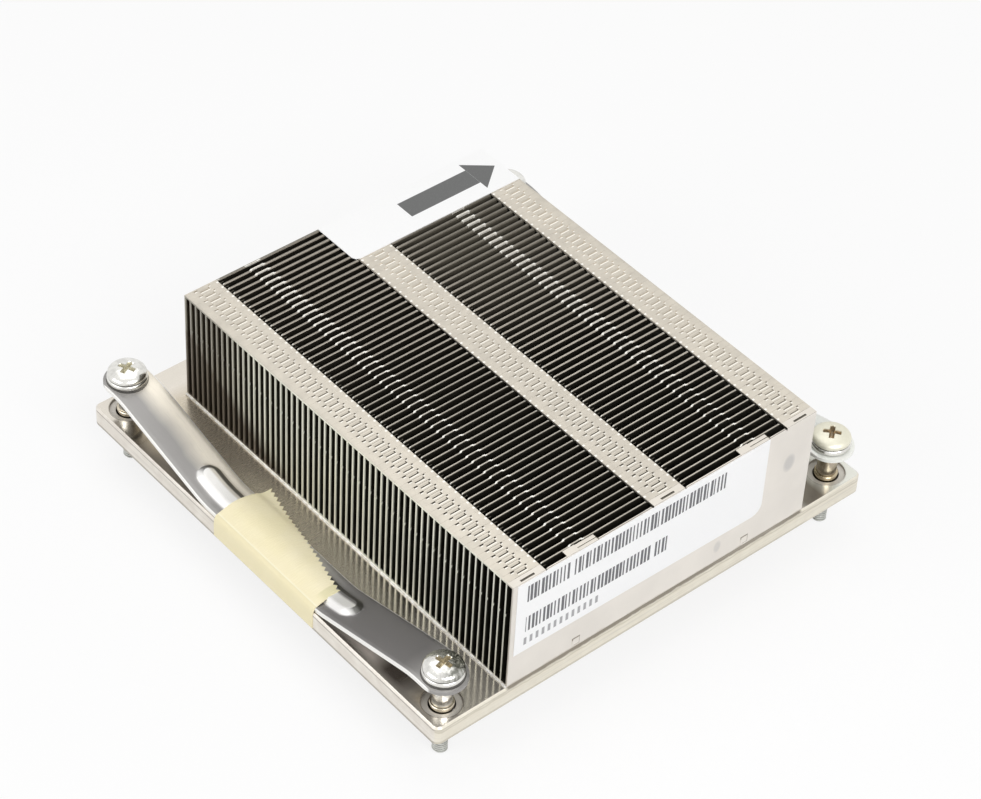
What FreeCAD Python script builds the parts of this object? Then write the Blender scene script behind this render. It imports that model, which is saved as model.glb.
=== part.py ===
import FreeCAD, Part
import Sketcher
import math
import os

# Low finned cooler for a rack server processor, lying on its four fixing screws
# X runs along the fins with the air, Y runs across the fin row, Z is up
# Zero is the centre of the plate's underside

os.makedirs("parts", exist_ok=True)
doc = FreeCAD.newDocument("heatsink")
V = FreeCAD.Vector

# Driving sizes in millimetres
sheet = doc.addObject("Spreadsheet::Sheet", "sizes")
SIZES = [
    ("plate_margin_x", 4.25),
    ("plate_margin_y", 4.0),
    ("plate_thick", 3.5),
    ("plate_corner", 1.2),
    ("plate_bevel", 0.3),
    ("hole_pitch", 80.0),
    ("hole_dia", 4.2),
    ("top_recess_dia", 6.4),
    ("top_recess_deep", 0.4),
    ("low_recess_dia", 7.2),
    ("low_recess_deep", 0.9),
    ("solder_thick", 0.25),
    ("solder_margin", 0.2),
    ("fin_len", 61.4),
    ("fin_high", 21.35),
    ("fin_sheet", 0.3),
    ("fin_pitch", 1.385),
    ("fin_gap", 0.02),
    ("fin_count", 59),
    ("front_set_back", 0.1),
    ("side_band", 6.2),
    ("mid_band", 6.3),
    ("lock_slot_len", 3.0),
    ("lock_slot_wide", 0.45),
    ("lock_slot_off", 0.35),
    ("rib_len", 2.3),
    ("rib_high", 0.9),
    ("rib_out", 0.28),
    ("rib_place", 17.6),
    ("tab_len", 6.0),
    ("spring_wide", 7.8),
    ("spring_thick", 0.8),
    ("spring_flat", 14.5),
    ("spring_lift", 5.6),
    ("spring_land", 36.8),
    ("spring_hole", 4.1),
    ("bead_wide", 4.4),
    ("bead_half", 20.0),
    ("bead_high", 0.8),
    ("shoulder_dia", 3.3),
    ("collar_dia", 3.9),
    ("collar_up", 0.4),
    ("collar_thick", 1.2),
    ("neck_dia", 2.0),
    ("thread_dia", 2.5),
    ("thread_top", -0.9),
    ("tip_low", -7.1),
    ("tip_bevel", 0.4),
    ("head_dia", 6.4),
    ("head_high", 1.5),
    ("head_rim", 0.4),
    ("recess_cross", 3.0),
    ("recess_slot", 0.8),
    ("recess_deep", 1.0),
    ("washer_dia", 6.7),
    ("washer_thick", 1.1),
    ("washer_play", 0.1),
    ("ring_dia", 6.0),
    ("ring_thick", 0.6),
    ("paper_thick", 0.12),
    ("label_margin", 9.9),
    ("label_inset", 0.2),
    ("label_side", 0.85),
    ("label_low", 5.5),
    ("label_rise", 0.8),
    ("label_corner", 2.0),
    ("sticker_deep", 9.9),
    ("sticker_long", 34.7),
    ("sticker_corner", 1.0),
    ("tape_thick", 0.14),
    ("tape_front", -14.2),
    ("tape_back", 11.0),
    ("tape_ease", 0.05),
    ("tape_hem", 0.2),
    ("tape_reach", 3.2),
    ("tape_skew", 2.9),
]
value = {}
for row, (name, number) in enumerate(SIZES, start=1):
    sheet.set("A%d" % row, name)
    sheet.set("B%d" % row, str(number))
    sheet.setAlias("B%d" % row, name)
doc.recompute()
for name, number in SIZES:
    value[name] = float(sheet.get(name))


def size(name):
    return value[name]


made = []


def keep(obj, label):
    obj.Label = label
    made.append(obj)
    return obj


def plane(body, role):
    for item in body.Origin.OriginFeatures:
        if item.Role == role:
            return item
    return None


def new_sketch(body, role, label, offset=0.0):
    sk = body.newObject("Sketcher::SketchObject", label)
    sk.AttachmentSupport = (plane(body, role), [""])
    sk.MapMode = "FlatFace"
    sk.AttachmentOffset = FreeCAD.Placement(V(0, 0, offset), FreeCAD.Rotation())
    return sk


def outline(sk, points):
    """Closed straight-sided outline in the sketch's own plane."""
    first = sk.GeometryCount
    count = len(points)
    for i in range(count):
        a = points[i]
        b = points[(i + 1) % count]
        sk.addGeometry(Part.LineSegment(V(a[0], a[1], 0), V(b[0], b[1], 0)), False)
    for i in range(count):
        j = (i + 1) % count
        sk.addConstraint(Sketcher.Constraint("Coincident", first + i, 2, first + j, 1))
    return first


def ring(sk, x, y, radius):
    sk.addGeometry(Part.Circle(V(x, y, 0), V(0, 0, 1), radius), False)
    return sk.GeometryCount - 1


def sized_box(sk, wide, wide_now, deep, deep_now):
    """Centred rectangle whose two sides follow expressions."""
    a = wide_now / 2
    b = deep_now / 2
    first = outline(sk, [(-a, -b), (a, -b), (a, b), (-a, b)])
    add = sk.addConstraint
    add(Sketcher.Constraint("Horizontal", first))
    add(Sketcher.Constraint("Vertical", first + 1))
    add(Sketcher.Constraint("Horizontal", first + 2))
    add(Sketcher.Constraint("Vertical", first + 3))
    add(Sketcher.Constraint("Symmetric", first, 1, first + 1, 2, -1, 1))
    n = add(Sketcher.Constraint("DistanceX", first, 1, first, 2, 2 * a))
    sk.setExpression("Constraints[%d]" % n, wide)
    n = add(Sketcher.Constraint("DistanceY", first + 1, 1, first + 1, 2, 2 * b))
    sk.setExpression("Constraints[%d]" % n, deep)
    return first


def placed_box(sk, left, right, low, high):
    """Rectangle whose four sides each follow a pair of number and expression."""
    first = outline(
        sk,
        [(left[0], low[0]), (right[0], low[0]), (right[0], high[0]), (left[0], high[0])],
    )
    for n in range(2):
        sk.addConstraint(Sketcher.Constraint("Horizontal", first + 2 * n))
        sk.addConstraint(Sketcher.Constraint("Vertical", first + 2 * n + 1))
    sides = [
        ("DistanceX", first, 1, left),
        ("DistanceX", first, 2, right),
        ("DistanceY", first, 1, low),
        ("DistanceY", first + 2, 1, high),
    ]
    for kind, line, point, place in sides:
        n = sk.addConstraint(Sketcher.Constraint(kind, -1, 1, line, point, place[0]))
        sk.setExpression("Constraints[%d]" % n, place[1])


def four_holes(sk, dia):
    """Four equal circles on the fixing square."""
    half = size("hole_pitch") / 2
    for sx, sy in ((-1, -1), (1, -1), (1, 1), (-1, 1)):
        g = ring(sk, sx * half, sy * half, size(dia) / 2)
        n = sk.addConstraint(Sketcher.Constraint("Diameter", g, size(dia)))
        sk.setExpression("Constraints[%d]" % n, "sizes." + dia)
        n = sk.addConstraint(Sketcher.Constraint("DistanceX", -1, 1, g, 3, sx * half))
        sk.setExpression("Constraints[%d]" % n, "%d * sizes.hole_pitch / 2" % sx)
        n = sk.addConstraint(Sketcher.Constraint("DistanceY", -1, 1, g, 3, sy * half))
        sk.setExpression("Constraints[%d]" % n, "%d * sizes.hole_pitch / 2" % sy)


# Base plate
plate = doc.addObject("PartDesign::Body", "plate_body")
sk = new_sketch(plate, "XY_Plane", "plate_outline")
PLATE_LEN = size("hole_pitch") + 2 * size("plate_margin_x")
PLATE_WIDE = size("hole_pitch") + 2 * size("plate_margin_y")
sized_box(
    sk,
    "sizes.hole_pitch + 2 * sizes.plate_margin_x",
    PLATE_LEN,
    "sizes.hole_pitch + 2 * sizes.plate_margin_y",
    PLATE_WIDE,
)
pad = plate.newObject("PartDesign::Pad", "plate_pad")
pad.Profile = sk
pad.setExpression("Length", "sizes.plate_thick")
sk.Visibility = False
plate.Tip = pad
doc.recompute()


def upright_edges(shape, low, high):
    names = []
    for i, edge in enumerate(shape.Edges):
        box = edge.BoundBox
        if box.ZLength > high - low - 0.01 and box.XLength < 0.01 and box.YLength < 0.01:
            names.append("Edge%d" % (i + 1))
    return names


def level_edges(shape, z):
    names = []
    for i, edge in enumerate(shape.Edges):
        box = edge.BoundBox
        if abs(box.ZMin - z) < 0.001 and abs(box.ZMax - z) < 0.001:
            names.append("Edge%d" % (i + 1))
    return names


corner = plate.newObject("PartDesign::Fillet", "plate_corners")
corner.Base = (pad, upright_edges(pad.Shape, 0, size("plate_thick")))
corner.setExpression("Radius", "sizes.plate_corner")
plate.Tip = corner
doc.recompute()
bevel = plate.newObject("PartDesign::Chamfer", "plate_edge")
bevel.Base = (corner, level_edges(corner.Shape, size("plate_thick")))
bevel.setExpression("Size", "sizes.plate_bevel")
plate.Tip = bevel
doc.recompute()
holes = new_sketch(plate, "XY_Plane", "screw_holes")
four_holes(holes, "hole_dia")
cut = plate.newObject("PartDesign::Pocket", "hole_pocket")
cut.Profile = holes
cut.Type = 1
cut.Midplane = True
holes.Visibility = False
plate.Tip = cut
doc.recompute()
low = new_sketch(plate, "XY_Plane", "low_recess")
four_holes(low, "low_recess_dia")
low_cut = plate.newObject("PartDesign::Pocket", "low_recess_pocket")
low_cut.Profile = low
low_cut.Reversed = True
low_cut.setExpression("Length", "sizes.low_recess_deep")
low.Visibility = False
plate.Tip = low_cut
doc.recompute()
top = new_sketch(plate, "XY_Plane", "top_recess")
top.setExpression("AttachmentOffset.Base.z", "sizes.plate_thick - sizes.top_recess_deep")
four_holes(top, "top_recess_dia")
top_cut = plate.newObject("PartDesign::Pocket", "top_recess_pocket")
top_cut.Profile = top
top_cut.Reversed = True
top_cut.setExpression("Length", "sizes.top_recess_deep")
top.Visibility = False
plate.Tip = top_cut
doc.recompute()
keep(plate, "base_plate")

# Solder film between the plate and the feet of the fins
solder = doc.addObject("PartDesign::Body", "solder_body")
sk = new_sketch(solder, "XY_Plane", "solder_outline")
row_len = (size("fin_count") - 1) * size("fin_pitch") + size("fin_sheet")
FRONT = size("front_set_back") - PLATE_WIDE / 2
solder_near = size("plate_bevel") - PLATE_WIDE / 2
solder_far = FRONT + row_len + size("solder_margin")
half = size("fin_len") / 2 + size("solder_margin")
outline(sk, [(-half, solder_near), (half, solder_near), (half, solder_far), (-half, solder_far)])
pad = solder.newObject("PartDesign::Pad", "solder_pad")
pad.Profile = sk
pad.setExpression("Length", "sizes.solder_thick")
sk.Visibility = False
solder.Tip = pad
solder.setExpression("Placement.Base.z", "sizes.plate_thick")
keep(solder, "solder_layer")

# Folded sheet fins
FOOT = size("plate_thick") + size("solder_thick")
TOP = FOOT + size("fin_high")
SHEET = size("fin_sheet")
DEPTH = size("fin_pitch") - size("fin_gap")
HALF = size("fin_len") / 2
FOOT_AT = "sizes.plate_thick + sizes.solder_thick"
TOP_AT = FOOT_AT + " + sizes.fin_high"
SHEET_AT = "sizes.fin_sheet"
DEPTH_AT = "sizes.fin_pitch - sizes.fin_gap"
BANDS = [
    (
        (-HALF, "-sizes.fin_len / 2"),
        (size("side_band") - HALF, "sizes.side_band - sizes.fin_len / 2"),
    ),
    (
        (-size("mid_band") / 2, "-sizes.mid_band / 2"),
        (size("mid_band") / 2, "sizes.mid_band / 2"),
    ),
    (
        (HALF - size("side_band"), "sizes.fin_len / 2 - sizes.side_band"),
        (HALF, "sizes.fin_len / 2"),
    ),
]


def half_way(a, b, reach, name):
    """Two places that lie a half size each side of the middle of a span."""
    mid = (a[0] + b[0]) / 2
    words = "((%s) + (%s)) / 2" % (a[1], b[1])
    return (
        (mid - reach / 2, "%s - %s / 2" % (words, name)),
        (mid + reach / 2, "%s + %s / 2" % (words, name)),
    )


def placed_pair(name):
    """The spans of a small piece that stands at the same place on both sides."""
    spans = []
    for side in (-1, 1):
        place = side * size("rib_place")
        words = "%d * sizes.rib_place" % side
        spans.append(half_way((place, words), (place, words), size(name), "sizes." + name))
    return spans


def pad_from(body, sk, label, length, back=False):
    feature = body.newObject("PartDesign::Pad", label)
    feature.Profile = sk
    feature.Reversed = back
    feature.setExpression("Length", length)
    sk.Visibility = False
    body.Tip = feature
    return feature


def fin_body(label, y, bands=True, ribs=False, tabs=False, foot=True):
    """Upright sheet with its foot and its top bands folded towards +Y."""
    body = doc.addObject("PartDesign::Body", label + "_body")
    body.AllowCompound = True
    near = (SHEET, SHEET_AT)
    far = (DEPTH, DEPTH_AT)
    left = BANDS[0][0]
    right = BANDS[2][1]
    sk = new_sketch(body, "XZ_Plane", label + "_sheet")
    placed_box(sk, left, right, (FOOT, FOOT_AT), (TOP, TOP_AT))
    features = [pad_from(body, sk, label + "_web", SHEET_AT, back=True)]
    if foot:
        sk = new_sketch(body, "XY_Plane", label + "_foot_outline")
        sk.setExpression("AttachmentOffset.Base.z", FOOT_AT)
        placed_box(sk, left, right, near, far)
        features.append(pad_from(body, sk, label + "_foot", SHEET_AT))
    if bands:
        sk = new_sketch(body, "XY_Plane", label + "_band_outline")
        sk.setExpression("AttachmentOffset.Base.z", TOP_AT + " - " + SHEET_AT)
        for a, b in BANDS:
            placed_box(sk, a, b, near, far)
            start, end = half_way(a, b, size("lock_slot_len"), "sizes.lock_slot_len")
            y0 = SHEET + size("lock_slot_off")
            y0_at = SHEET_AT + " + sizes.lock_slot_off"
            y1 = y0 + size("lock_slot_wide")
            placed_box(sk, start, end, (y0, y0_at), (y1, y0_at + " + sizes.lock_slot_wide"))
        if tabs:
            for a, b in placed_pair("tab_len"):
                placed_box(sk, a, b, near, far)
        features.append(pad_from(body, sk, label + "_bands", SHEET_AT))
    if ribs:
        sk = new_sketch(body, "XY_Plane", label + "_rib_outline")
        sk.setExpression("AttachmentOffset.Base.z", TOP_AT + " - sizes.rib_high")
        for a, b in placed_pair("rib_len"):
            out = (SHEET + size("rib_out"), SHEET_AT + " + sizes.rib_out")
            placed_box(sk, a, b, near, out)
        features.append(pad_from(body, sk, label + "_ribs", "sizes.rib_high"))
    body.Placement = FreeCAD.Placement(V(0, y, 0), FreeCAD.Rotation())
    return body, features


def repeat(body, features, label, count):
    """The same fin again, one pitch further each time."""
    pattern = body.newObject("PartDesign::LinearPattern", label + "_row")
    pattern.Originals = features
    pattern.Direction = (plane(body, "Y_Axis"), [""])
    pattern.setExpression("Length", "%d * sizes.fin_pitch" % (count - 1))
    pattern.Occurrences = count
    body.Tip = pattern


def fin_place(number):
    """Where a fin's front face stands, counted from the labelled one."""
    return FRONT + number * size("fin_pitch")


# Front fin, which carries the printed label
body, features = fin_body("front", fin_place(0), tabs=True)
keep(body, "label_fin")

# Middle fins in groups of three separate sheets
GROUP = 3
middle = int(size("fin_count")) - 2
for g in range(middle // GROUP):
    label = "fins_%02d" % (g + 1)
    body, features = fin_body(label, fin_place(1 + g * GROUP), ribs=True)
    repeat(body, features, label, GROUP)
    keep(body, "fin_group_%02d" % (g + 1))

# Last fin, a plain sheet that closes the row
body, features = fin_body("last", fin_place(int(size("fin_count")) - 1), bands=False, foot=False)
keep(body, "end_fin")
doc.recompute()

# Bowed leaf springs, one along each side of the fins
LIFT = size("spring_lift")
FLAT = size("spring_flat")
LAND = size("spring_land")
THICK = size("spring_thick")
END = size("hole_pitch") / 2 + size("spring_wide") / 2


def spring_side():
    """Side outline of the strip, low in the middle and raised at both ends."""
    rise = math.atan2(LIFT, LAND - FLAT)
    shift = THICK * math.tan(rise / 2)
    under = [(-END, LIFT), (-LAND, LIFT), (-FLAT, 0), (FLAT, 0), (LAND, LIFT), (END, LIFT)]
    over = [
        (END, LIFT + THICK),
        (LAND - shift, LIFT + THICK),
        (FLAT - shift, THICK),
        (-FLAT + shift, THICK),
        (-LAND + shift, LIFT + THICK),
        (-END, LIFT + THICK),
    ]
    return under + over


def bead_side():
    """Side outline of the raised bead, which follows the strip's own slope."""
    rise = math.atan2(LIFT, LAND - FLAT)
    slope = math.tan(rise)
    shift = THICK * math.tan(rise / 2)
    over = (THICK + size("bead_high")) * math.tan(rise / 2)
    y1 = size("bead_half")
    z1 = (y1 - FLAT) * slope + THICK / 2
    y2 = y1 - size("bead_high") * 1.4
    z2 = THICK + size("bead_high") + (y2 - FLAT + over) * slope
    return [
        (-y1, z1),
        (-FLAT + shift, THICK / 2),
        (FLAT - shift, THICK / 2),
        (y1, z1),
        (y2, z2),
        (FLAT - over, THICK + size("bead_high")),
        (-FLAT + over, THICK + size("bead_high")),
        (-y2, z2),
    ]


def leaf_spring(label, x):
    body = doc.addObject("PartDesign::Body", label + "_body")
    sk = new_sketch(body, "YZ_Plane", label + "_side")
    outline(sk, spring_side())
    pad = body.newObject("PartDesign::Pad", label + "_strip")
    pad.Profile = sk
    pad.Midplane = True
    pad.setExpression("Length", "sizes.spring_wide")
    sk.Visibility = False
    body.Tip = pad
    doc.recompute()
    ends = []
    for i, edge in enumerate(pad.Shape.Edges):
        box = edge.BoundBox
        if box.ZLength > THICK - 0.01 and box.YLength < 0.01 and box.XLength < 0.01:
            if abs(abs(box.YMin) - END) < 0.01:
                ends.append("Edge%d" % (i + 1))
    turn = body.newObject("PartDesign::Fillet", label + "_ends")
    turn.Base = (pad, ends)
    turn.setExpression("Radius", "sizes.spring_wide / 2 - 0.01")
    body.Tip = turn
    doc.recompute()
    sk = new_sketch(body, "YZ_Plane", label + "_bead_side")
    outline(sk, bead_side())
    bead = body.newObject("PartDesign::Pad", label + "_bead")
    bead.Profile = sk
    bead.Midplane = True
    bead.setExpression("Length", "sizes.bead_wide")
    sk.Visibility = False
    body.Tip = bead
    doc.recompute()
    sk = new_sketch(body, "XY_Plane", label + "_eyes")
    for side in (-1, 1):
        g = ring(sk, 0, side * size("hole_pitch") / 2, size("spring_hole") / 2)
        n = sk.addConstraint(Sketcher.Constraint("Diameter", g, size("spring_hole")))
        sk.setExpression("Constraints[%d]" % n, "sizes.spring_hole")
        n = sk.addConstraint(
            Sketcher.Constraint("DistanceY", -1, 1, g, 3, side * size("hole_pitch") / 2)
        )
        sk.setExpression("Constraints[%d]" % n, "%d * sizes.hole_pitch / 2" % side)
        sk.addConstraint(Sketcher.Constraint("PointOnObject", g, 3, -2))
    eyes = body.newObject("PartDesign::Pocket", label + "_eye_pocket")
    eyes.Profile = sk
    eyes.Type = 1
    eyes.Midplane = True
    sk.Visibility = False
    body.Tip = eyes
    body.Placement = FreeCAD.Placement(V(x, 0, 0), FreeCAD.Rotation())
    body.setExpression("Placement.Base.z", "sizes.plate_thick")
    doc.recompute()
    return body


HOLE = size("hole_pitch") / 2
keep(leaf_spring("inlet_spring", -HOLE), "leaf_spring_inlet")
keep(leaf_spring("outlet_spring", HOLE), "leaf_spring_outlet")

# Heights up a screw
SEAT = size("plate_thick") + LIFT + THICK
WASHER_TOP = SEAT + size("washer_thick")
HEAD_TOP = WASHER_TOP + size("head_high")
RING_TOP = size("low_recess_deep")
RING_LOW = RING_TOP - size("ring_thick")
COLLAR_TOP = size("plate_thick") + size("collar_up")
COLLAR_LOW = COLLAR_TOP - size("collar_thick")


def turned(label, points, x, y, angle=360.0):
    """Body turned about its upright axis from a half outline of radius and height."""
    body = doc.addObject("PartDesign::Body", label + "_body")
    sk = new_sketch(body, "XZ_Plane", label + "_half")
    outline(sk, points)
    rev = body.newObject("PartDesign::Revolution", label + "_turned")
    rev.Profile = sk
    rev.ReferenceAxis = (sk, ["V_Axis"])
    rev.Angle = angle
    sk.Visibility = False
    body.Tip = rev
    body.Placement = FreeCAD.Placement(V(x, y, 0), FreeCAD.Rotation())
    doc.recompute()
    return body


def screw_points():
    rh = size("head_dia") / 2
    rs = size("shoulder_dia") / 2
    rc = size("collar_dia") / 2
    rn = size("neck_dia") / 2
    rt = size("thread_dia") / 2
    rim = WASHER_TOP + size("head_rim")
    points = [
        (0, size("tip_low")),
        (rt - size("tip_bevel"), size("tip_low")),
        (rt, size("tip_low") + size("tip_bevel")),
        (rt, size("thread_top")),
        (rn, size("thread_top")),
        (rn, COLLAR_LOW),
        (rc, COLLAR_LOW),
        (rc, COLLAR_TOP),
        (rs, COLLAR_TOP),
        (rs, WASHER_TOP),
        (rh, WASHER_TOP),
        (rh, rim),
    ]
    dome = HEAD_TOP - rim
    for step in range(1, 6):
        turn = math.radians(step * 15)
        points.append((rh * math.cos(turn), rim + dome * math.sin(turn)))
    points.append((0, HEAD_TOP))
    return points


def screw(label, x, y, turn):
    body = turned(label, screw_points(), x, y)
    sk = new_sketch(body, "XY_Plane", label + "_cross", HEAD_TOP + 0.01)
    a = size("recess_cross") / 2
    b = size("recess_slot") / 2
    outline(
        sk,
        [
            (-a, -b), (-b, -b), (-b, -a), (b, -a), (b, -b), (a, -b),
            (a, b), (b, b), (b, a), (-b, a), (-b, b), (-a, b),
        ],
    )
    cut = body.newObject("PartDesign::Pocket", label + "_recess")
    cut.Profile = sk
    cut.setExpression("Length", "sizes.recess_deep")
    sk.Visibility = False
    body.Tip = cut
    body.Placement = FreeCAD.Placement(V(x, y, 0), FreeCAD.Rotation(V(0, 0, 1), turn))
    doc.recompute()
    return body


def washer_points():
    ro = size("washer_dia") / 2
    ri = size("shoulder_dia") / 2 + size("washer_play")
    edge = 0.3
    return [
        (ri, SEAT),
        (ro - edge, SEAT),
        (ro, SEAT + edge),
        (ro, WASHER_TOP - edge),
        (ro - edge, WASHER_TOP),
        (ri, WASHER_TOP),
    ]


def ring_points():
    rn = size("neck_dia") / 2
    ro = size("ring_dia") / 2
    return [(rn, RING_LOW), (ro, RING_LOW), (ro, RING_TOP), (rn, RING_TOP)]


CORNERS = [
    ("front", -HOLE, -HOLE, 12.0),
    ("right", HOLE, -HOLE, 40.0),
    ("back", HOLE, HOLE, 71.0),
    ("left", -HOLE, HOLE, 25.0),
]
for name, x, y, turn in CORNERS:
    keep(screw("screw_" + name, x, y, turn), "screw_" + name)
    keep(turned("washer_" + name, washer_points(), x, y), "washer_" + name)
    clip = turned("ring_" + name, ring_points(), x, y, 300.0)
    keep(clip, "retaining_ring_" + name)

# Printed label on the front fin, its lower edge a little askew
label = doc.addObject("PartDesign::Body", "front_label_body")
sk = new_sketch(label, "XZ_Plane", "front_label_outline")
high = TOP - size("label_inset")
right = HALF - size("label_margin")
left = size("label_side") - HALF
low = FOOT + size("label_low")
bend = size("label_corner")
outline(
    sk,
    [
        (left, low + size("label_rise")), (right - bend, low),
        (right - 0.62 * bend, low + 0.08 * bend), (right - 0.29 * bend, low + 0.29 * bend),
        (right - 0.08 * bend, low + 0.62 * bend), (right, low + bend),
        (right, high), (left, high),
    ],
)
pad_from(label, sk, "front_label_pad", "sizes.paper_thick")
label.Placement = FreeCAD.Placement(V(0, FRONT, 0), FreeCAD.Rotation())
keep(label, "front_label")

# Sticker over the fin tops at the far end
sticker = doc.addObject("PartDesign::Body", "top_sticker_body")
sk = new_sketch(sticker, "XY_Plane", "top_sticker_outline")
row_end = FRONT + row_len
near = row_end - size("sticker_deep")
start = HALF - size("sticker_long")
corner = size("sticker_corner")
outline(
    sk,
    [
        (start + corner, near), (HALF, near), (HALF, row_end),
        (start, row_end), (start, near + corner), (start + corner / 3, near + corner / 3),
    ],
)
pad_from(sticker, sk, "top_sticker_pad", "sizes.paper_thick")
sticker.Placement = FreeCAD.Placement(V(0, 0, TOP), FreeCAD.Rotation())
keep(sticker, "top_sticker")

# Strip of masking tape that holds the inlet spring down on the plate
TAPE = size("tape_thick")
EASE = size("tape_ease")
top_z = size("plate_thick") + THICK
out_x = -HOLE - size("spring_wide") / 2 - EASE
in_x = -HOLE + size("spring_wide") / 2 + EASE
side_x = min(-PLATE_LEN / 2, out_x - EASE)
crest = size("bead_wide") / 2 + EASE
low_line = [
    (side_x, size("tape_hem")),
    (side_x, size("plate_thick") - EASE),
    (out_x, top_z),
    (-HOLE - crest - 4 * EASE, top_z),
    (-HOLE - crest, top_z + size("bead_high")),
    (-HOLE + crest, top_z + size("bead_high")),
    (-HOLE + crest + 4 * EASE, top_z),
    (in_x, top_z),
    (in_x + THICK, size("plate_thick") + THICK / 2),
    (in_x + size("tape_reach"), size("plate_thick")),
]
centre = Part.makePolygon([V(x, 0, z) for x, z in low_line])
thick = centre.makeOffset2D(TAPE, join=2, openResult=True, fill=True)
if thick.BoundBox.XMin > side_x - TAPE / 2:
    thick = centre.makeOffset2D(-TAPE, join=2, openResult=True, fill=True)
front_y = size("tape_front")
back_y = size("tape_back")
strip = thick.extrude(V(0, back_y - front_y, 0))
strip.translate(V(0, front_y, 0))
saw_edge = [
    (in_x - size("tape_skew"), front_y), (in_x + EASE, (front_y + back_y) / 2 - 1),
    (in_x + size("tape_reach"), back_y), (in_x + 9, back_y), (in_x + 9, front_y),
]
wire = Part.makePolygon([V(x, y, 0) for x, y in saw_edge + saw_edge[:1]])
tape = doc.addObject("Part::Feature", "tape_strip")
tape.Shape = strip.cut(Part.Face(wire).extrude(V(0, 0, TOP)))
keep(tape, "tape")

# Every sub-part is whole before it is written out
doc.recompute()
for obj in doc.Objects:
    for word in obj.State:
        if word in ("Invalid", "Error"):
            raise RuntimeError("%s is %s" % (obj.Label, word))
for obj in made:
    if obj.Shape.isNull():
        raise RuntimeError("%s has no shape" % obj.Label)
    if not obj.Shape.isValid():
        raise RuntimeError("%s is not valid" % obj.Label)
for obj in made:
    obj.Shape.exportStep("parts/%s.step" % obj.Label)
print("%d sub-parts written" % len(made))
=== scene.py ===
"""Looks of a passive processor heatsink: fins, springs, screws, papers, tape and studio."""
import math
from collections import Counter

import bmesh
import bpy
from mathutils import Matrix, Vector
from mathutils.geometry import delaunay_2d_cdt


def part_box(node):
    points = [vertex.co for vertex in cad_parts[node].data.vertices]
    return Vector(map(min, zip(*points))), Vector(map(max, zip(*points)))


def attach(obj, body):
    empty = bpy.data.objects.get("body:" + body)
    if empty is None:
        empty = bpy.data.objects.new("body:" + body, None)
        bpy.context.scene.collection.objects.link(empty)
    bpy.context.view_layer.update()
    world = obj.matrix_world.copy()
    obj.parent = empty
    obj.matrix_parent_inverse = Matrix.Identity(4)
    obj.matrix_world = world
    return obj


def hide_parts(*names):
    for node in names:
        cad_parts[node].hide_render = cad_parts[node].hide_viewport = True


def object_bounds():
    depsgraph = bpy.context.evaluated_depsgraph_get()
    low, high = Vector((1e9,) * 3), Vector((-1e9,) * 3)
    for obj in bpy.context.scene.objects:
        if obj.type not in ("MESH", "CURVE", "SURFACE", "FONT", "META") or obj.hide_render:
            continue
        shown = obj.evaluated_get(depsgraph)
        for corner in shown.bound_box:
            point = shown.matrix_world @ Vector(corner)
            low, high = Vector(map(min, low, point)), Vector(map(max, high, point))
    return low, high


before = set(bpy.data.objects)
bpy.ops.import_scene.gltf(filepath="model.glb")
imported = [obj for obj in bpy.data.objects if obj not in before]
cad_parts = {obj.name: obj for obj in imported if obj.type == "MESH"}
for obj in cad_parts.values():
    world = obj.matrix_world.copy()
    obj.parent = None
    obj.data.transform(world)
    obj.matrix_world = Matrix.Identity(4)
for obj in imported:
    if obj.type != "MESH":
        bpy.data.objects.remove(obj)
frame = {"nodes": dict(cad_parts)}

bl_info = {
    "name": "Passive processor heatsink",
    "version": (1, 0, 0),
    "blender": (4, 5, 0),
    "location": "3D View > Sidebar > Heatsink",
    "description": "Builds the fins, springs, screws, papers and studio of a passive heatsink",
    "category": "Object",
}

MM = 0.001
CORNERS = {"front": (-1, -1), "right": (1, -1), "back": (1, 1), "left": (-1, 1)}
CAD_LOW, CAD_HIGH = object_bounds()


def cad_box(node):
    """Lowest and highest corner of a CAD node in millimetres."""
    low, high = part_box(node)
    return low / MM, high / MM


FIN_LOW, FIN_HIGH = cad_box("label_fin")
END_HIGH = cad_box("end_fin")[1]
PLATE_HIGH = cad_box("base_plate")[1]
SPRING_LOW, SPRING_HIGH = cad_box("leaf_spring_inlet")
WASHER_LOW, WASHER_HIGH = cad_box("washer_front")
SCREW_LOW, SCREW_HIGH = cad_box("screw_front")
TAPE_LOW, TAPE_HIGH = cad_box("tape")

# Steps round a full circle, and the curve of a screw head from its rim to its middle
ROUND = 48
HEAD_BOW, HEAD_FALL = 2.3, 0.55
# Places of the two small lances on the label fin, in millimetres
LANCES = (-17.1, 17.9)
LANCE_HIGH = 4.9


# Sizes and colours that a user would change


def length(name, words, millimetres):
    """A length property that shows in scene units."""
    return bpy.props.FloatProperty(
        name=name, description=words, default=millimetres * MM, unit="LENGTH", precision=5
    )


def share(name, words, default):
    """A property between nought and one."""
    return bpy.props.FloatProperty(
        name=name, description=words, default=default, min=0.0, max=1.0, subtype="FACTOR"
    )


def power(name, words, default):
    """The power of a lamp."""
    return bpy.props.FloatProperty(name=name, description=words, default=default, unit="POWER")


def colour(name, words, default):
    """A colour property."""
    return bpy.props.FloatVectorProperty(
        name=name, description=words, default=default, size=3, min=0.0, max=1.0, subtype="COLOR"
    )


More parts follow.
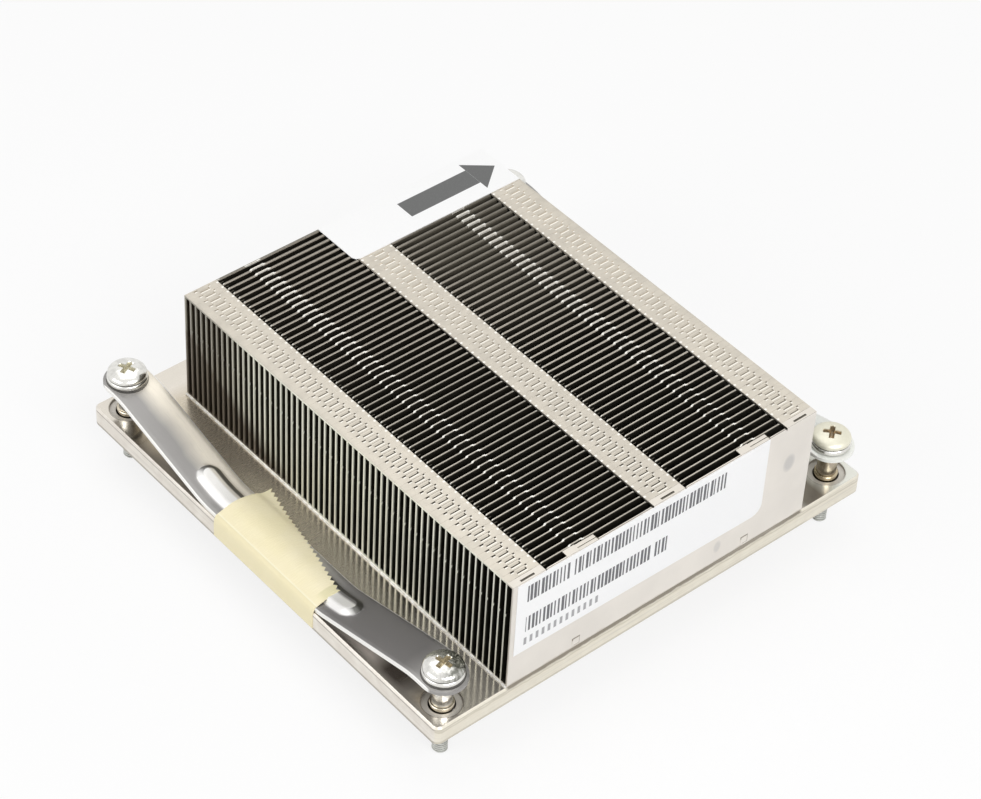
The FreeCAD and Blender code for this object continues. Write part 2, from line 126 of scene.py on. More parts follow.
class HEATSINK_PG_fins(bpy.types.PropertyGroup):
    """Sizes of the folded fins."""

    count: bpy.props.IntProperty(name="Fins", description="Folded fins behind the label fin", default=57)
    sheet: length("Sheet", "Thickness of one fin", 0.3)
    pitch: length("Pitch", "Distance from one fin to the next", 1.385)
    fold: length("Fold", "Reach of a fold from the front of its fin", 1.38)
    side_band: length("Side band", "Width of the folded band along each side", 6.2)
    mid_band: length("Middle band", "Width of the folded band along the middle", 6.3)
    rib_place: length("Rib place", "Distance of the small ribs from the middle", 17.4)
    rib_long: length("Rib length", "Length of a small rib along its fin", 2.4)
    rib_out: length("Rib step", "Step of a small rib out of its fin", 0.17)
    rib_high: length("Rib height", "Depth of a small rib below the top edge", 0.9)
    relief: length("Relief", "Drop of the top edge beside a band", 0.5)
    groove: length("Lock depth", "Depth of the lines between the locked folds", 0.1)
    tab_left: length("Tab start", "Inner tab's start on the label fin", -20.2)
    tab_right: length("Tab end", "Inner tab's end on the label fin", -14.2)
    tab_shift: length("Second tab", "Distance from the first tab to the second", 35.0)
    dimple_drop: length("Dimple drop", "Distance of the side dimples below the top", 6.7)


class HEATSINK_PG_springs(bpy.types.PropertyGroup):
    """Sizes of the two leaf springs."""

    thick: length("Thickness", "Thickness of the spring steel", 0.8)
    flat: length("Flat", "Half length of the part that lies on the plate", 14.5)
    land: length("Landing", "Distance from the middle to the level ends", 36.8)
    lift: length("Lift", "Rise of the ends above the plate", SPRING_HIGH.z - PLATE_HIGH.z - 0.8)
    ease: length("Bend", "Half length over which a bend is eased", 1.6)
    hole: length("Hole", "Radius of the screw holes", 2.05)
    bead_half: length("Bead length", "Half length of the raised bead", 20.0)
    bead_wide: length("Bead width", "Half width of the raised bead", 2.2)
    bead_flank: length("Bead flank", "Width of the bead's sloping flank", 1.0)
    bead_high: length("Bead height", "Height of the raised bead", 0.8)


class HEATSINK_PG_screws(bpy.types.PropertyGroup):
    """Sizes of the corner screws and their washers."""

    spacing: length("Spacing", "Distance between the screws", 80.0)
    head: length("Head", "Radius of the pan head", (SCREW_HIGH.x - SCREW_LOW.x) / 2)
    head_low: length("Head underside", "Height of the head's underside", WASHER_HIGH.z)
    head_rim: length("Head rim", "Height of the head's straight rim", 0.4)
    head_high: length("Head height", "Height of the head", SCREW_HIGH.z - WASHER_HIGH.z)
    recess: length("Recess", "Half length of the cross recess", 1.5)
    slot: length("Recess slot", "Half width of the cross recess", 0.45)
    slope: length("Recess wall", "Width of the recess's sloping wall", 0.3)
    deep: length("Recess depth", "Depth of the cross recess", 0.8)
    shoulder: length("Shoulder", "Radius of the shoulder", 1.65)
    collar: length("Collar", "Radius of the collar under the shoulder", 1.95)
    collar_top: length("Collar top", "Height of the collar's upper end", 3.9)
    collar_low: length("Collar end", "Height of the collar's lower end", 2.7)
    neck: length("Neck", "Radius of the neck below the shoulder", 1.0)
    thread: length("Thread", "Outer radius of the thread", 1.25)
    thread_top: length("Thread top", "Height of the thread's upper end", -0.9)
    thread_pitch: length("Thread pitch", "Distance between two turns of the thread", 0.45)
    ridge: length("Thread ridge", "Height of the thread's ridge", 0.17)
    washer_bore: length("Washer bore", "Inner radius of a washer", 1.75)


class HEATSINK_PG_papers(bpy.types.PropertyGroup):
    """Sizes of the printed marks and the tape."""

    module: length("Bar pitch", "Distance from one printed bar to the next", 0.72)
    bars_left: length("Bars start", "Left end of both rows of bars", -27.9)
    bars_right: length("Upper bars end", "Right end of the upper row of bars", 12.0)
    bars_mid: length("Lower bars end", "Right end of the lower row of bars", 0.6)
    upper_top: length("Upper bars top", "Top of the upper row at its left end", 23.95)
    upper_tall: length("Upper bars height", "Height of the upper row of bars", 3.45)
    lower_top: length("Lower bars top", "Top of the lower row at its left end", 17.3)
    lower_tall: length("Lower bars height", "Height of the lower row of bars", 3.2)
    arrow_tail: length("Arrow tail", "Start of the arrow's shaft", 10.2)
    arrow_neck: length("Arrow neck", "Start of the arrow's head", 24.8)
    arrow_tip: length("Arrow tip", "Tip of the arrow", 29.55)
    arrow_line: length("Arrow line", "Middle line of the arrow", 31.9)
    arrow_shaft: length("Arrow shaft", "Half width of the arrow's shaft", 1.95)
    arrow_barb: length("Arrow barb", "Half width of the arrow's head", 3.75)
    tape_thick: length("Tape", "Thickness of the masking tape", 0.13)
    tooth: length("Tooth", "Distance between the teeth of the torn edge", 1.08)
    tooth_deep: length("Tooth depth", "Depth of the teeth of the torn edge", 0.62)


class HEATSINK_PG_colours(bpy.types.PropertyGroup):
    """Colours of the finishes."""

    nickel: colour("Nickel", "Fins and folds", (0.61, 0.565, 0.485))
    nickel_face: colour("Label fin", "Front of the label fin", (0.75, 0.71, 0.655))
    # Colour of the fins' cut edges, painted bright as their highlight
    cut_edge_highlight: colour("Fin edges", "Bright cut edges of the fins", (0.90, 0.895, 0.78))
    # Painted shade: the near-black colour laid deep between the fins
    hollow_shade: colour("Hollows", "Dull plating deep between the fins", (0.030, 0.028, 0.018))
    plate: colour("Plate", "Polished nickel of the base plate", (0.78, 0.73, 0.65))
    spring: colour("Spring", "Spring steel", (0.33, 0.32, 0.31))
    # Painted sheen laid on the inner side of each spring
    spring_sheen: colour("Spring sheen", "Warm sheen of the spring steel", (0.80, 0.745, 0.64))
    spring_dark: colour("Spring scuffs", "Darker scuffed spring steel", (0.20, 0.19, 0.19))
    screw: colour("Screw", "Plated screws", (0.80, 0.79, 0.75))
    gold: colour("Recess", "Yellow passivated recess", (0.66, 0.56, 0.36))
    solder: colour("Solder", "Solder under the fins", (0.93, 0.90, 0.83))
    paper: colour("Paper", "Label and sticker", (0.92, 0.92, 0.925))
    ink: colour("Bars", "Printed bars", (0.045, 0.045, 0.055))
    arrow: colour("Arrow", "Printed arrow", (0.135, 0.137, 0.135))
    tape: colour("Tape", "Masking tape", (0.92, 0.835, 0.56))


class HEATSINK_PG_stage(bpy.types.PropertyGroup):
    """Studio floor, lamps and camera."""

    floor: length("Floor", "Half width of the floor", 900.0)
    lens: bpy.props.FloatProperty(
        name="Lens", description="Focal length in millimetres", default=115.665
    )
    eye: bpy.props.FloatVectorProperty(
        name="Eye",
        description="Place of the camera",
        default=(-0.24605, -0.27237, 0.35645),
        subtype="TRANSLATION",
    )
    key: power("Key lamp", "Power of the key lamp", 2.8)
    fill: power("Fill lamp", "Power of the fill lamp", 1.4)
    top: power("Top lamp", "Power of the top lamp", 0.95)
    air: share("Room light", "Strength of the even light from all round", 0.46)


class Lengths:
    """Reads the lengths of one group of properties in millimetres."""

    def __init__(self, name):
        self.group = getattr(bpy.context.scene, "heatsink_" + name)

    def __getattr__(self, key):
        return getattr(self.group, key) / MM


def paints():
    """The colours that the user has set."""
    return bpy.context.scene.heatsink_colours


def tinted(tint, factor):
    """A colour made darker or brighter by a factor."""
    return tuple(min(1.0, c * factor) for c in tint)


# Node trees


class Value:
    """A number from a node that takes part in Python sums."""

    def __init__(self, net, socket):
        self.net = net
        self.socket = socket

    def sum(self, operation, *others):
        node = self.net.node("ShaderNodeMath", dict(enumerate(others)), operation=operation)
        return Value(self.net, node.outputs[0])

    def __add__(self, other):
        return self.sum("ADD", self, other)

    def __sub__(self, other):
        return self.sum("SUBTRACT", self, other)

    def __mul__(self, other):
        return self.sum("MULTIPLY", self, other)

    def __truediv__(self, other):
        return self.sum("DIVIDE", self, other)

    def __rsub__(self, other):
        return self.sum("SUBTRACT", other, self)

    def __rtruediv__(self, other):
        return self.sum("DIVIDE", other, self)

    __radd__ = __add__
    __rmul__ = __mul__

    def __abs__(self):
        return self.sum("ABSOLUTE", self)

    def __pow__(self, other):
        return self.sum("POWER", self, other)

    def floor(self):
        return self.sum("FLOOR", self)

    def most(self, other):
        return self.sum("MAXIMUM", self, other)

    def least(self, other):
        return self.sum("MINIMUM", self, other)

    def above(self, start, width):
        """Rises from 0 to 1 between start and start + width."""
        sockets = {0: self, 1: start, 2: start + width, 3: 0.0, 4: 1.0}
        return Value(self.net, self.net.node("ShaderNodeMapRange", sockets, clamp=True).outputs[0])

    def below(self, start, width):
        return 1 - self.above(start, width)

    def within(self, low, high, width=0.02):
        return self.above(low, width) * self.below(high - width, width)


class Net:
    """Adds nodes to one tree."""

    def __init__(self, tree):
        self.tree = tree

    def node(self, kind, sockets=None, **settings):
        made = self.tree.nodes.new(kind)
        for key, value in settings.items():
            setattr(made, key, value)
        for key, value in (sockets or {}).items():
            self.feed(made.inputs[key], value)
        return made

    def feed(self, slot, value):
        if isinstance(value, Value):
            value = value.socket
        if isinstance(value, bpy.types.NodeSocket):
            self.tree.links.new(value, slot)
        else:
            slot.default_value = value


class Finish(Net):
    """A procedural material on Object coordinates in millimetres."""

    def __init__(self, name):
        self.material = bpy.data.materials.new(name)
        self.material.use_nodes = True
        super().__init__(self.material.node_tree)
        self.tree.nodes.clear()
        self.shader = self.node("ShaderNodeBsdfPrincipled")
        self.end = self.node("ShaderNodeOutputMaterial", {0: self.shader.outputs[0]})
        self.place = self.scaled(self.node("ShaderNodeTexCoord").outputs["Object"], 1 / MM)
        split = self.node("ShaderNodeSeparateXYZ", {0: self.place})
        self.x, self.y, self.z = (Value(self, s) for s in split.outputs)

    def scaled(self, vector, factor):
        """A place or a colour times a number."""
        sockets = {0: vector, "Scale": factor}
        return self.node("ShaderNodeVectorMath", sockets, operation="SCALE").outputs[0]

    def stretched(self, x, y, z):
        sockets = {0: self.place, 1: (x, y, z)}
        return self.node("ShaderNodeVectorMath", sockets, operation="MULTIPLY").outputs[0]

    def noise(self, scale, detail=3.0, place=None):
        sockets = {"Vector": place or self.place, "Scale": scale, "Detail": detail}
        return Value(self, self.node("ShaderNodeTexNoise", sockets).outputs[0])

    def chance(self, number):
        """A fixed random number for each whole number."""
        node = self.node("ShaderNodeTexWhiteNoise", {"W": number}, noise_dimensions="1D")
        return Value(self, node.outputs[0])

    def mix(self, factor, first, second):
        """A colour between two colours."""
        first, second = (c if isinstance(c, bpy.types.NodeSocket) else (*c, 1.0) for c in (first, second))
        return self.node("ShaderNodeMix", {0: factor, 6: first, 7: second}, data_type="RGBA").outputs[2]

    def coats(self, tint, *layers):
        """A colour under several coats, each a mask and the colour that it lays on."""
        for mask, coat in layers:
            tint = self.mix(mask, tint, coat)
        return tint

    def bump(self, height, reach):
        """Relief of a height that runs from nought to one, in metres."""
        sockets = {"Height": height, "Distance": reach, "Strength": 1.0}
        self.feed(self.shader.inputs["Normal"], self.node("ShaderNodeBump", sockets).outputs[0])

    def set(self, **sockets):
        """Sets the shader's own sockets."""
        for key, value in sockets.items():
            if isinstance(value, tuple) and len(value) == 3:
                value = (*value, 1.0)
            self.feed(self.shader.inputs[key.replace("_", " ")], value)
        return self.material


def smooth(t):
    t = min(max(t, 0.0), 1.0)
    return t * t * (3 - 2 * t)


# Meshes, drawn in millimetres


def solid(name, points, faces, materials, angle=32.0):
    """A closed mesh object with doubles merged and faces turned outwards."""
    shape = bmesh.new()
    corners = [shape.verts.new(Vector(p) * MM) for p in points]
    for face in faces:
        shape.faces.new([corners[i] for i in face])
    bmesh.ops.remove_doubles(shape, verts=shape.verts, dist=2e-7)
    bmesh.ops.recalc_face_normals(shape, faces=shape.faces)
    mesh = bpy.data.meshes.new(name)
    shape.to_mesh(mesh)
    shape.free()
    mesh.polygons.foreach_set("use_smooth", [True] * len(mesh.polygons))
    mesh.set_sharp_from_angle(angle=math.radians(angle))
    for material in materials:
        mesh.materials.append(material)
    made = bpy.data.objects.new(name, mesh)
    bpy.context.scene.collection.objects.link(made)
    return made


def skin(rows, caps=True):
    """Points and faces of a closed section carried along its rows."""
    n, last = len(rows[0]), len(rows) - 1
    faces = []
    for i in range(last):
        for j in range(n):
            k = (j + 1) % n
            faces.append([i * n + j, i * n + k, (i + 1) * n + k, (i + 1) * n + j])
    if caps:
        faces.append(list(range(n)))
        faces.append(list(range(last * n, (last + 1) * n)))
    return [p for row in rows for p in row], faces


def circle(radius, steps=ROUND):
    """Points evenly spaced on a circle round the origin."""
    turns = [2 * math.pi * i / steps for i in range(steps)]
    return [(radius * math.cos(a), radius * math.sin(a)) for a in turns]


def turned_rows(profile):
    """Rings of a section of (radius, height) turned about the upright axis."""
    return [[(x, y, z) for x, y in circle(r)] for r, z in profile]


def inside(x, y, loop):
    hit = False
    for (x0, y0), (x1, y1) in zip(loop, loop[1:] + loop[:1]):
        if (y0 > y) != (y1 > y) and x < (x1 - x0) * (y - y0) / (y1 - y0) + x0:
            hit = not hit
    return hit


def lined(loop, step):
    """A loop with its long sides divided."""
    found = []
    for (x0, y0), (x1, y1) in zip(loop, loop[1:] + loop[:1]):
        parts = max(1, round(math.dist((x0, y0), (x1, y1)) / step))
        found += [(x0 + (x1 - x0) * i / parts, y0 + (y1 - y0) * i / parts) for i in range(parts)]
    return found


def plan(loops, holes, dots):
    """Triangles inside the first loop and outside the holes; other loops are creases."""
    points, edges = [], []
    for loop in loops + holes:
        start, n = len(points), len(loop)
        points += [Vector(p) for p in loop]
        edges += [(start + i, start + (i + 1) % n) for i in range(n)]
    points += [Vector(p) for p in dots]
    points, _, faces, *_ = delaunay_2d_cdt(points, edges, [], 1, 1e-5)
    kept = []
    for face in faces:
        x = sum(points[i].x for i in face) / len(face)
        y = sum(points[i].y for i in face) / len(face)
        if inside(x, y, loops[0]) and not any(inside(x, y, hole) for hole in holes):
            kept.append(list(face))
    return [(p.x, p.y) for p in points], kept


def sheet_skin(flat, faces, place):
    """A closed sheet over a plan: place(u, v, 0) is its lower side and place(u, v, 1) its upper."""
    n = len(flat)
    points = [place(u, v, 0) for u, v in flat] + [place(u, v, 1) for u, v in flat]
    sides = Counter(frozenset(e) for f in faces for e in zip(f, f[1:] + f[:1]))
    found = [f[::-1] for f in faces] + [[n + i for i in f] for f in faces]
    for f in faces:
        for a, b in zip(f, f[1:] + f[:1]):
            if sides[frozenset((a, b))] == 1:
                found.append([a, b, n + b, n + a])
    return points, found


def join(*parts):
    """Several lists of points and faces as one."""
    points, faces = [], []
    for new_points, new_faces in parts:
        start = len(points)
        points += new_points
        faces += [[start + i for i in face] for face in new_faces]
    return points, faces


def grow(made, tree, values):
    """Runs a geometry tree on an object and keeps the result as a plain mesh."""
    step = made.modifiers.new(tree.name, "NODES")
    step.node_group = tree
    for item in tree.interface.items_tree:
        if item.item_type == "SOCKET" and item.in_out == "INPUT" and item.name in values:
            step[item.identifier] = values[item.name]
    graph = bpy.context.evaluated_depsgraph_get()
    mesh = bpy.data.meshes.new_from_object(made.evaluated_get(graph))
    made.modifiers.clear()
    old = made.data
    made.data = mesh
    bpy.data.meshes.remove(old)
    mesh.name = made.name
    return made


def geometry_tree(name, **inputs):
    """An empty geometry tree with named inputs, and its first and last node."""
    tree = bpy.data.node_groups.new(name, "GeometryNodeTree")
    face = tree.interface
    for label, kind in {"Geometry": "Geometry", **inputs, "Finish": "Material"}.items():
        face.new_socket(label, in_out="INPUT", socket_type="NodeSocket" + kind)
    face.new_socket("Geometry", in_out="OUTPUT", socket_type="NodeSocketGeometry")
    net = Net(tree)
    return net, net.node("NodeGroupInput").outputs, net.node("NodeGroupOutput").inputs


def copied(net, given, points):
    """Sets the piece that the tree works on at each point."""
    sockets = {"Points": points.outputs[0], "Instance": given["Geometry"]}
    return net.node("GeometryNodeInstanceOnPoints", sockets)


def close_tree(net, given, result, last):
    """Makes the copies real, paints them and hands them out of the tree."""
    real = net.node("GeometryNodeRealizeInstances", {0: last.outputs[0]})
    sockets = {"Geometry": real.outputs[0], "Material": given["Finish"]}
    net.feed(result[0], net.node("GeometryNodeSetMaterial", sockets).outputs[0])
    return net.tree


def row_tree():
    """Repeats a piece along a line at an even pitch."""
    net, given, result = geometry_tree("Row", Count="Int", First="Vector", Pitch="Vector")
    sockets = {"Count": given["Count"], "Start Location": given["First"], "Offset": given["Pitch"]}
    line = net.node("GeometryNodeMeshLine", sockets, mode="OFFSET")
    return close_tree(net, given, result, copied(net, given, line))


def corner_tree():
    """Sets a piece on the four screw corners."""
    net, given, result = geometry_tree("Corners", Spacing="Float")
    wide = given["Spacing"]
    sockets = {"Size X": wide, "Size Y": wide, "Vertices X": 2, "Vertices Y": 2}
    return close_tree(net, given, result, copied(net, given, net.node("GeometryNodeMeshGrid", sockets)))


def screw_tree():
    """Winds a thread on a screw blank, turns it and sets it in its corner."""
    numbers = dict.fromkeys(("Turns", "Length", "Radius", "Ridge"), "Float")
    places = dict.fromkeys(("Low", "Corner", "Turn"), "Vector")
    net, given, result = geometry_tree("Screw", **numbers, **places)
    spiral = net.node(
        "GeometryNodeCurveSpiral",
        {
            "Resolution": 26,
            "Rotations": given["Turns"],
            "Start Radius": given["Radius"],
            "End Radius": given["Radius"],
            "Height": given["Length"],
        },
    )
    sockets = {"Resolution": 4, "Radius": given["Ridge"]}
    ridge = net.node("GeometryNodeCurvePrimitiveCircle", sockets)
    sockets = {"Curve": spiral.outputs[0], "Profile Curve": ridge.outputs[0], "Fill Caps": True}
    wound = net.node("GeometryNodeCurveToMesh", sockets)
    sockets = {"Geometry": wound.outputs[0], "Translation": given["Low"]}
    lowered = net.node("GeometryNodeTransform", sockets)
    both = net.node("GeometryNodeJoinGeometry", {0: given["Geometry"]})
    net.feed(both.inputs[0], lowered.outputs[0])
    sockets = {"Geometry": both.outputs[0], "Translation": given["Corner"], "Rotation": given["Turn"]}
    return close_tree(net, given, result, net.node("GeometryNodeTransform", sockets))


# Finishes


def between_bands(f):
    """One between the folded bands that run over the fins."""
    fins = Lengths("fins")
    return abs(f.x).within(fins.mid_band / 2, FIN_HIGH.x - fins.side_band, 0.01)


def crown(f):
    """One on the top of the folds and on the up-turned edges between the bands."""
    top = FIN_HIGH.z
    normal = f.node("ShaderNodeNewGeometry").outputs["Normal"]
    up = Value(f, f.node("ShaderNodeSeparateXYZ", {0: normal}).outputs[2]).above(0.65, 0.2)
    high = f.z.above(top - 0.06, 0.02)
    return up * high.most(between_bands(f) * f.z.above(top - 0.7, 0.1))


def from_screw(f):
    """Places along x and y from the nearest screw's axis, and the distance from it."""
    centre = Lengths("screws").spacing / 2
    across, along = abs(f.x) - centre, abs(f.y) - centre
    return across, along, (across * across + along * along) ** 0.5


def fin_finish(name):
    """Nickel plated sheet with painted light: highlights on the edges and folds, painted shade deep between
    the fins.
    """
    fins, tints, f = Lengths("fins"), paints(), Finish(name)
    half, top, foot = FIN_HIGH.x, FIN_HIGH.z, FIN_LOW.z
    mid, side_start = fins.mid_band / 2, half - fins.side_band
    spread = half - fins.side_band / 2
    wide = abs(f.x)
    off = f.x - (f.x / spread + 0.5).floor() * spread
    grain = f.noise(0.5, 4.0)
    fine = f.noise(9.0, 2.0, f.stretched(1.0, 1.0, 0.12))

    # Place across the row of fins, and within one pitch
    place = (f.y - FIN_LOW.y + 0.01) / fins.pitch
    step = (place - place.floor()) * fins.pitch
    tone = f.chance(place.floor())

    # Masks for parts of the row. Most of them place painted light and shade, fixed on the object: they change
    # from front to back and from the front left corner to the back right, lay a painted shade over the back
    # right part, and a painted shade low down that grows towards the back.
    back = f.y.above(-30.0, 55.0)
    diagonal = f.x * 0.49 + f.y * 0.54
    # Gradients from the front left corner to the back right that set painted shade and painted light
    shade_fade = diagonal.above(-24.0, 36.0)
    far = diagonal.above(-8.0, 32.0)
    # Painted shade over the back right part
    dusk_shade = f.x.above(0.0, 8.0) * f.y.above(-8.0, 26.0)
    window = between_bands(f)
    bands = 1 - window
    # Painted shade low down on the sides, growing towards the back
    low = (foot + (f.y - 11.0) * 0.58 - f.z + 4.0 * f.noise(0.12, 2.0)).above(-1.5, 5.0)
    low = low.most(f.y.above(19.0, 9.0) * 0.75)

    # Masks for parts of one fin. The tops, cut edges and lines that they pick take painted highlights; the
    # rest of the sheet takes painted shade.
    outer = wide.above(half - 0.03, 0.02)
    groove = bands * f.z.above(top - 0.16, 0.02)
    joint = bands * (1 - off.within(-1.75, 1.75, 0.1)) * f.z.above(top - 0.16, 0.02)
    # The lit line along each top edge, painted wider towards the back right
    line = window * f.z.above(top - 0.04 - 0.46 * far, 0.04)
    upward = crown(f)
    bright = outer.most(upward).most(joint).most(line)
    # The lit strip of each fin's front just below its top edge
    lit_shelf = line * (1 - upward)
    # Painted light reaching into the top of each gap and near the sides
    lit_mouth = f.z.above(top - 2.5, 2.5).most(wide.above(half - 1.6, 1.6) * 0.5)
    wall = abs(wide - mid).below(0.14, 0.02).most(abs(wide - side_start).below(0.14, 0.02))
    wall = wall * f.z.above(top - 0.34, 0.02)
    end = abs(f.x - mid - 0.6).below(0.6, 0.1).most(abs(side_start + f.x - 0.6).below(0.6, 0.1))
    end = end * window * f.z.within(top - 0.92, top - 0.68, 0.08)
    lip = bands * off.within(-0.8, 1.15, 0.1) * f.z.above(top - 0.1, 0.05)
    # Painted glints beside the locks and at the edges of the bands
    glint_spot = off.within(-1.55, -0.95, 0.1).most(off.within(1.2, 1.6, 0.1)) * step.within(0.95, 1.16, 0.06)
    side = abs(side_start - wide + 0.16).below(0.2, 0.08).most(abs(mid - wide - 0.16).below(0.2, 0.08))
    glint_spot = glint_spot.most(side * step.within(0.80, 1.22, 0.08)) * bands
    away = wide - fins.rib_place
    # The ribs, their ends and the ends of the gaps take painted highlights
    rib = away.within(-1.35, 1.35, 0.1)
    knot = abs(abs(away) - fins.rib_long / 2).below(0.32, 0.1)
    curl = 1 - wide.within(mid + 0.5, side_start - 0.5, 0.12)
    # Painted shade on the last line before the end fin
    last = window * f.y.above(END_HIGH.y - 0.16, 0.06)
    # Painted highlight by the side edges of the fins, shaded where they lie low
    rim = wide.above(half - 0.25, 0.06) * f.y.above(-42.0, 30.0)

    # Painted shade deep between the fins: near-black at the front and a little lighter at the back, with
    # painted light near the tops and towards the sides at the back, painted lighter marks where each gap
    # starts, shaded nickel on the upright walls, the lock lines painted dark at the front and light further
    # back, painted shade over the back right part and low down, and a painted highlight by the side edges
    hollow_shade = f.coats(
        f.mix(back, tints.hollow_shade, (0.060, 0.050, 0.034)),
        (lit_mouth * 0.45, tinted(tints.nickel, 0.22)),
        (wide.above(half - 2.5, 2.5) * f.y.above(0.0, 35.0) * 0.45, (0.15, 0.125, 0.085)),
        (end * 0.8, (0.40, 0.37, 0.30)),
        (wall * 0.8, tinted(tints.nickel, 0.78)),
        (groove * (1 - wall), f.mix(shade_fade, (0.07, 0.06, 0.045), (0.64, 0.585, 0.50))),
        (dusk_shade * window * f.z.above(top - 1.4, 0.5) * 0.8, (0.15, 0.135, 0.105)),
        (low * wide.above(half - 2.2, 2.0) * 0.7, (0.20, 0.155, 0.115)),
        (rim * 0.9, f.mix(low * 0.9, (0.88, 0.90, 0.76), (0.15, 0.12, 0.09))),
    )
    # Painted light and shade on the tops: the middle band and the far bands a little darker, highlights with
    # a shaded edge beside the locks, glints at the band edges, lit ribs and lit strips below the top edges,
    # and painted shade on the lines between the bands, over the back right part and on the last line
    face = f.coats(
        f.mix(grain.above(0.35, 0.3), tints.nickel, tinted(tints.nickel, 1.12)),
        (wide.below(mid, 0.02).most(shade_fade * bands) * 0.13, (0.16, 0.15, 0.14)),
        (lip * step.within(0.30, 0.54, 0.06) * 0.9, (0.95, 0.92, 0.84)),
        (lip * step.within(0.72, 1.12, 0.10) * 0.45, (0.44, 0.40, 0.33)),
        (glint_spot * 0.85, (0.98, 0.96, 0.90)),
        (window * (1 - rib * back) * (0.26 + 0.50 * back), (0.12, 0.108, 0.088)),
        (window * (rib * back * 0.35).most(curl * 0.6).most(knot * 0.95), (0.93, 0.91, 0.84)),
        (lit_shelf, f.mix(rib * 0.6, (0.50, 0.45, 0.38), (0.86, 0.84, 0.78))),
        (dusk_shade * window * (1 - rib) * 0.7, (0.13, 0.12, 0.095)),
        (last * 0.85, (0.09, 0.09, 0.075)),
    )
    # Cut edges in their painted highlight, with painted shade low down and solder at the foot
    edge = f.coats(
        f.scaled(tints.cut_edge_highlight, 0.84 + 0.18 * tone),
        (low * 0.9, (0.13, 0.10, 0.075)),
        (f.z.below(foot + 0.34, 0.05), tints.solder),
    )

    # The open face of the last fin is plain nickel
    closing = f.y.above(END_HIGH.y - 0.03, 0.02)
    # Tops and cut edges take their colours; every other surface takes the painted shade
    painted = f.mix(bright, hollow_shade, f.mix(outer, face, edge))
    dull = lit_shelf.most(rim * (1 - outer)).most(end).most(dusk_shade * window * 0.8)
    metallic = (0.55 + 0.3 * bright.below(0.4, 0.2)) * (1 - 0.95 * dull)
    f.bump(fine, 0.00002)
    return f.set(
        Base_Color=f.mix(closing, painted, f.mix(grain, tints.nickel, tints.nickel_face)),
        Metallic=metallic * (1 - closing) + 0.6 * closing,
        Roughness=0.36 + 0.16 * grain,
        Specular_IOR_Level=0.3,
    )


def front_face_finish():
    """Satin nickel of the label fin, with two soft grey marks, painted shade along the edges of its lances
    and along its foot, and a dark painted shade on the sides of its folds.
    """
    f, tints = Finish("front_fin_nickel"), paints()
    grey = (0.36, 0.36, 0.37)
    face = f.y.below(FIN_LOW.y + 0.02, 0.02)
    outer = abs(f.x).above(FIN_HIGH.x - 0.03, 0.02)
    bright = crown(f).most(face).most(outer)
    cloud = f.noise(0.09, 3.0)
    warm = f.mix(cloud.above(0.4, 0.25), tints.nickel_face, tinted(tints.nickel_face, 1.08))
    warm = f.mix(face, f.mix(cloud, tints.nickel, tints.nickel_face), warm)

    def smudge(x, z, wide, tall):
        """One in the middle of a soft round mark on the front."""
        across, up = (f.x - x) / wide, (f.z - z) / tall
        return (across * across + up * up).below(0.35, 0.8) * face

    warm = f.mix(smudge(26.0, 16.8, 1.3, 1.9) * 0.45, warm, grey)
    line = LANCE_HIGH + 0.05
    for place in LANCES:
        square = abs(f.x - place).most(abs(f.z - line))
        corner = (f.x - place).above(-0.45, 0.1).most((f.z - line).above(0.3, 0.1))
        # Dark outline painted round each lance except at its lower left, as the shade at its edge
        warm = f.mix(square.within(0.60, 0.82, 0.05) * corner * face * 0.75, warm, (0.20, 0.17, 0.12))
    # Painted shade along the foot of the front, where the fin meets the plate
    seam_shade = face * (f.z + 0.9 * f.noise(0.6, 3.0)).below(FIN_LOW.z + 0.42, 0.35)
    warm = f.mix(smudge(11.9, 7.0, 0.8, 1.3) * 0.3, warm, grey)
    warm = f.mix(seam_shade * 0.55, warm, (0.42, 0.36, 0.27))
    f.bump(f.noise(3.0, 3.0), 0.00001)
    return f.set(
        # Surfaces that are neither tops, outer ends nor the front take a dark painted shade
        Base_Color=f.mix(bright, (0.10, 0.09, 0.07), warm),
        Metallic=0.6,
        Roughness=0.32 + 0.12 * f.noise(0.6, 4.0),
    )


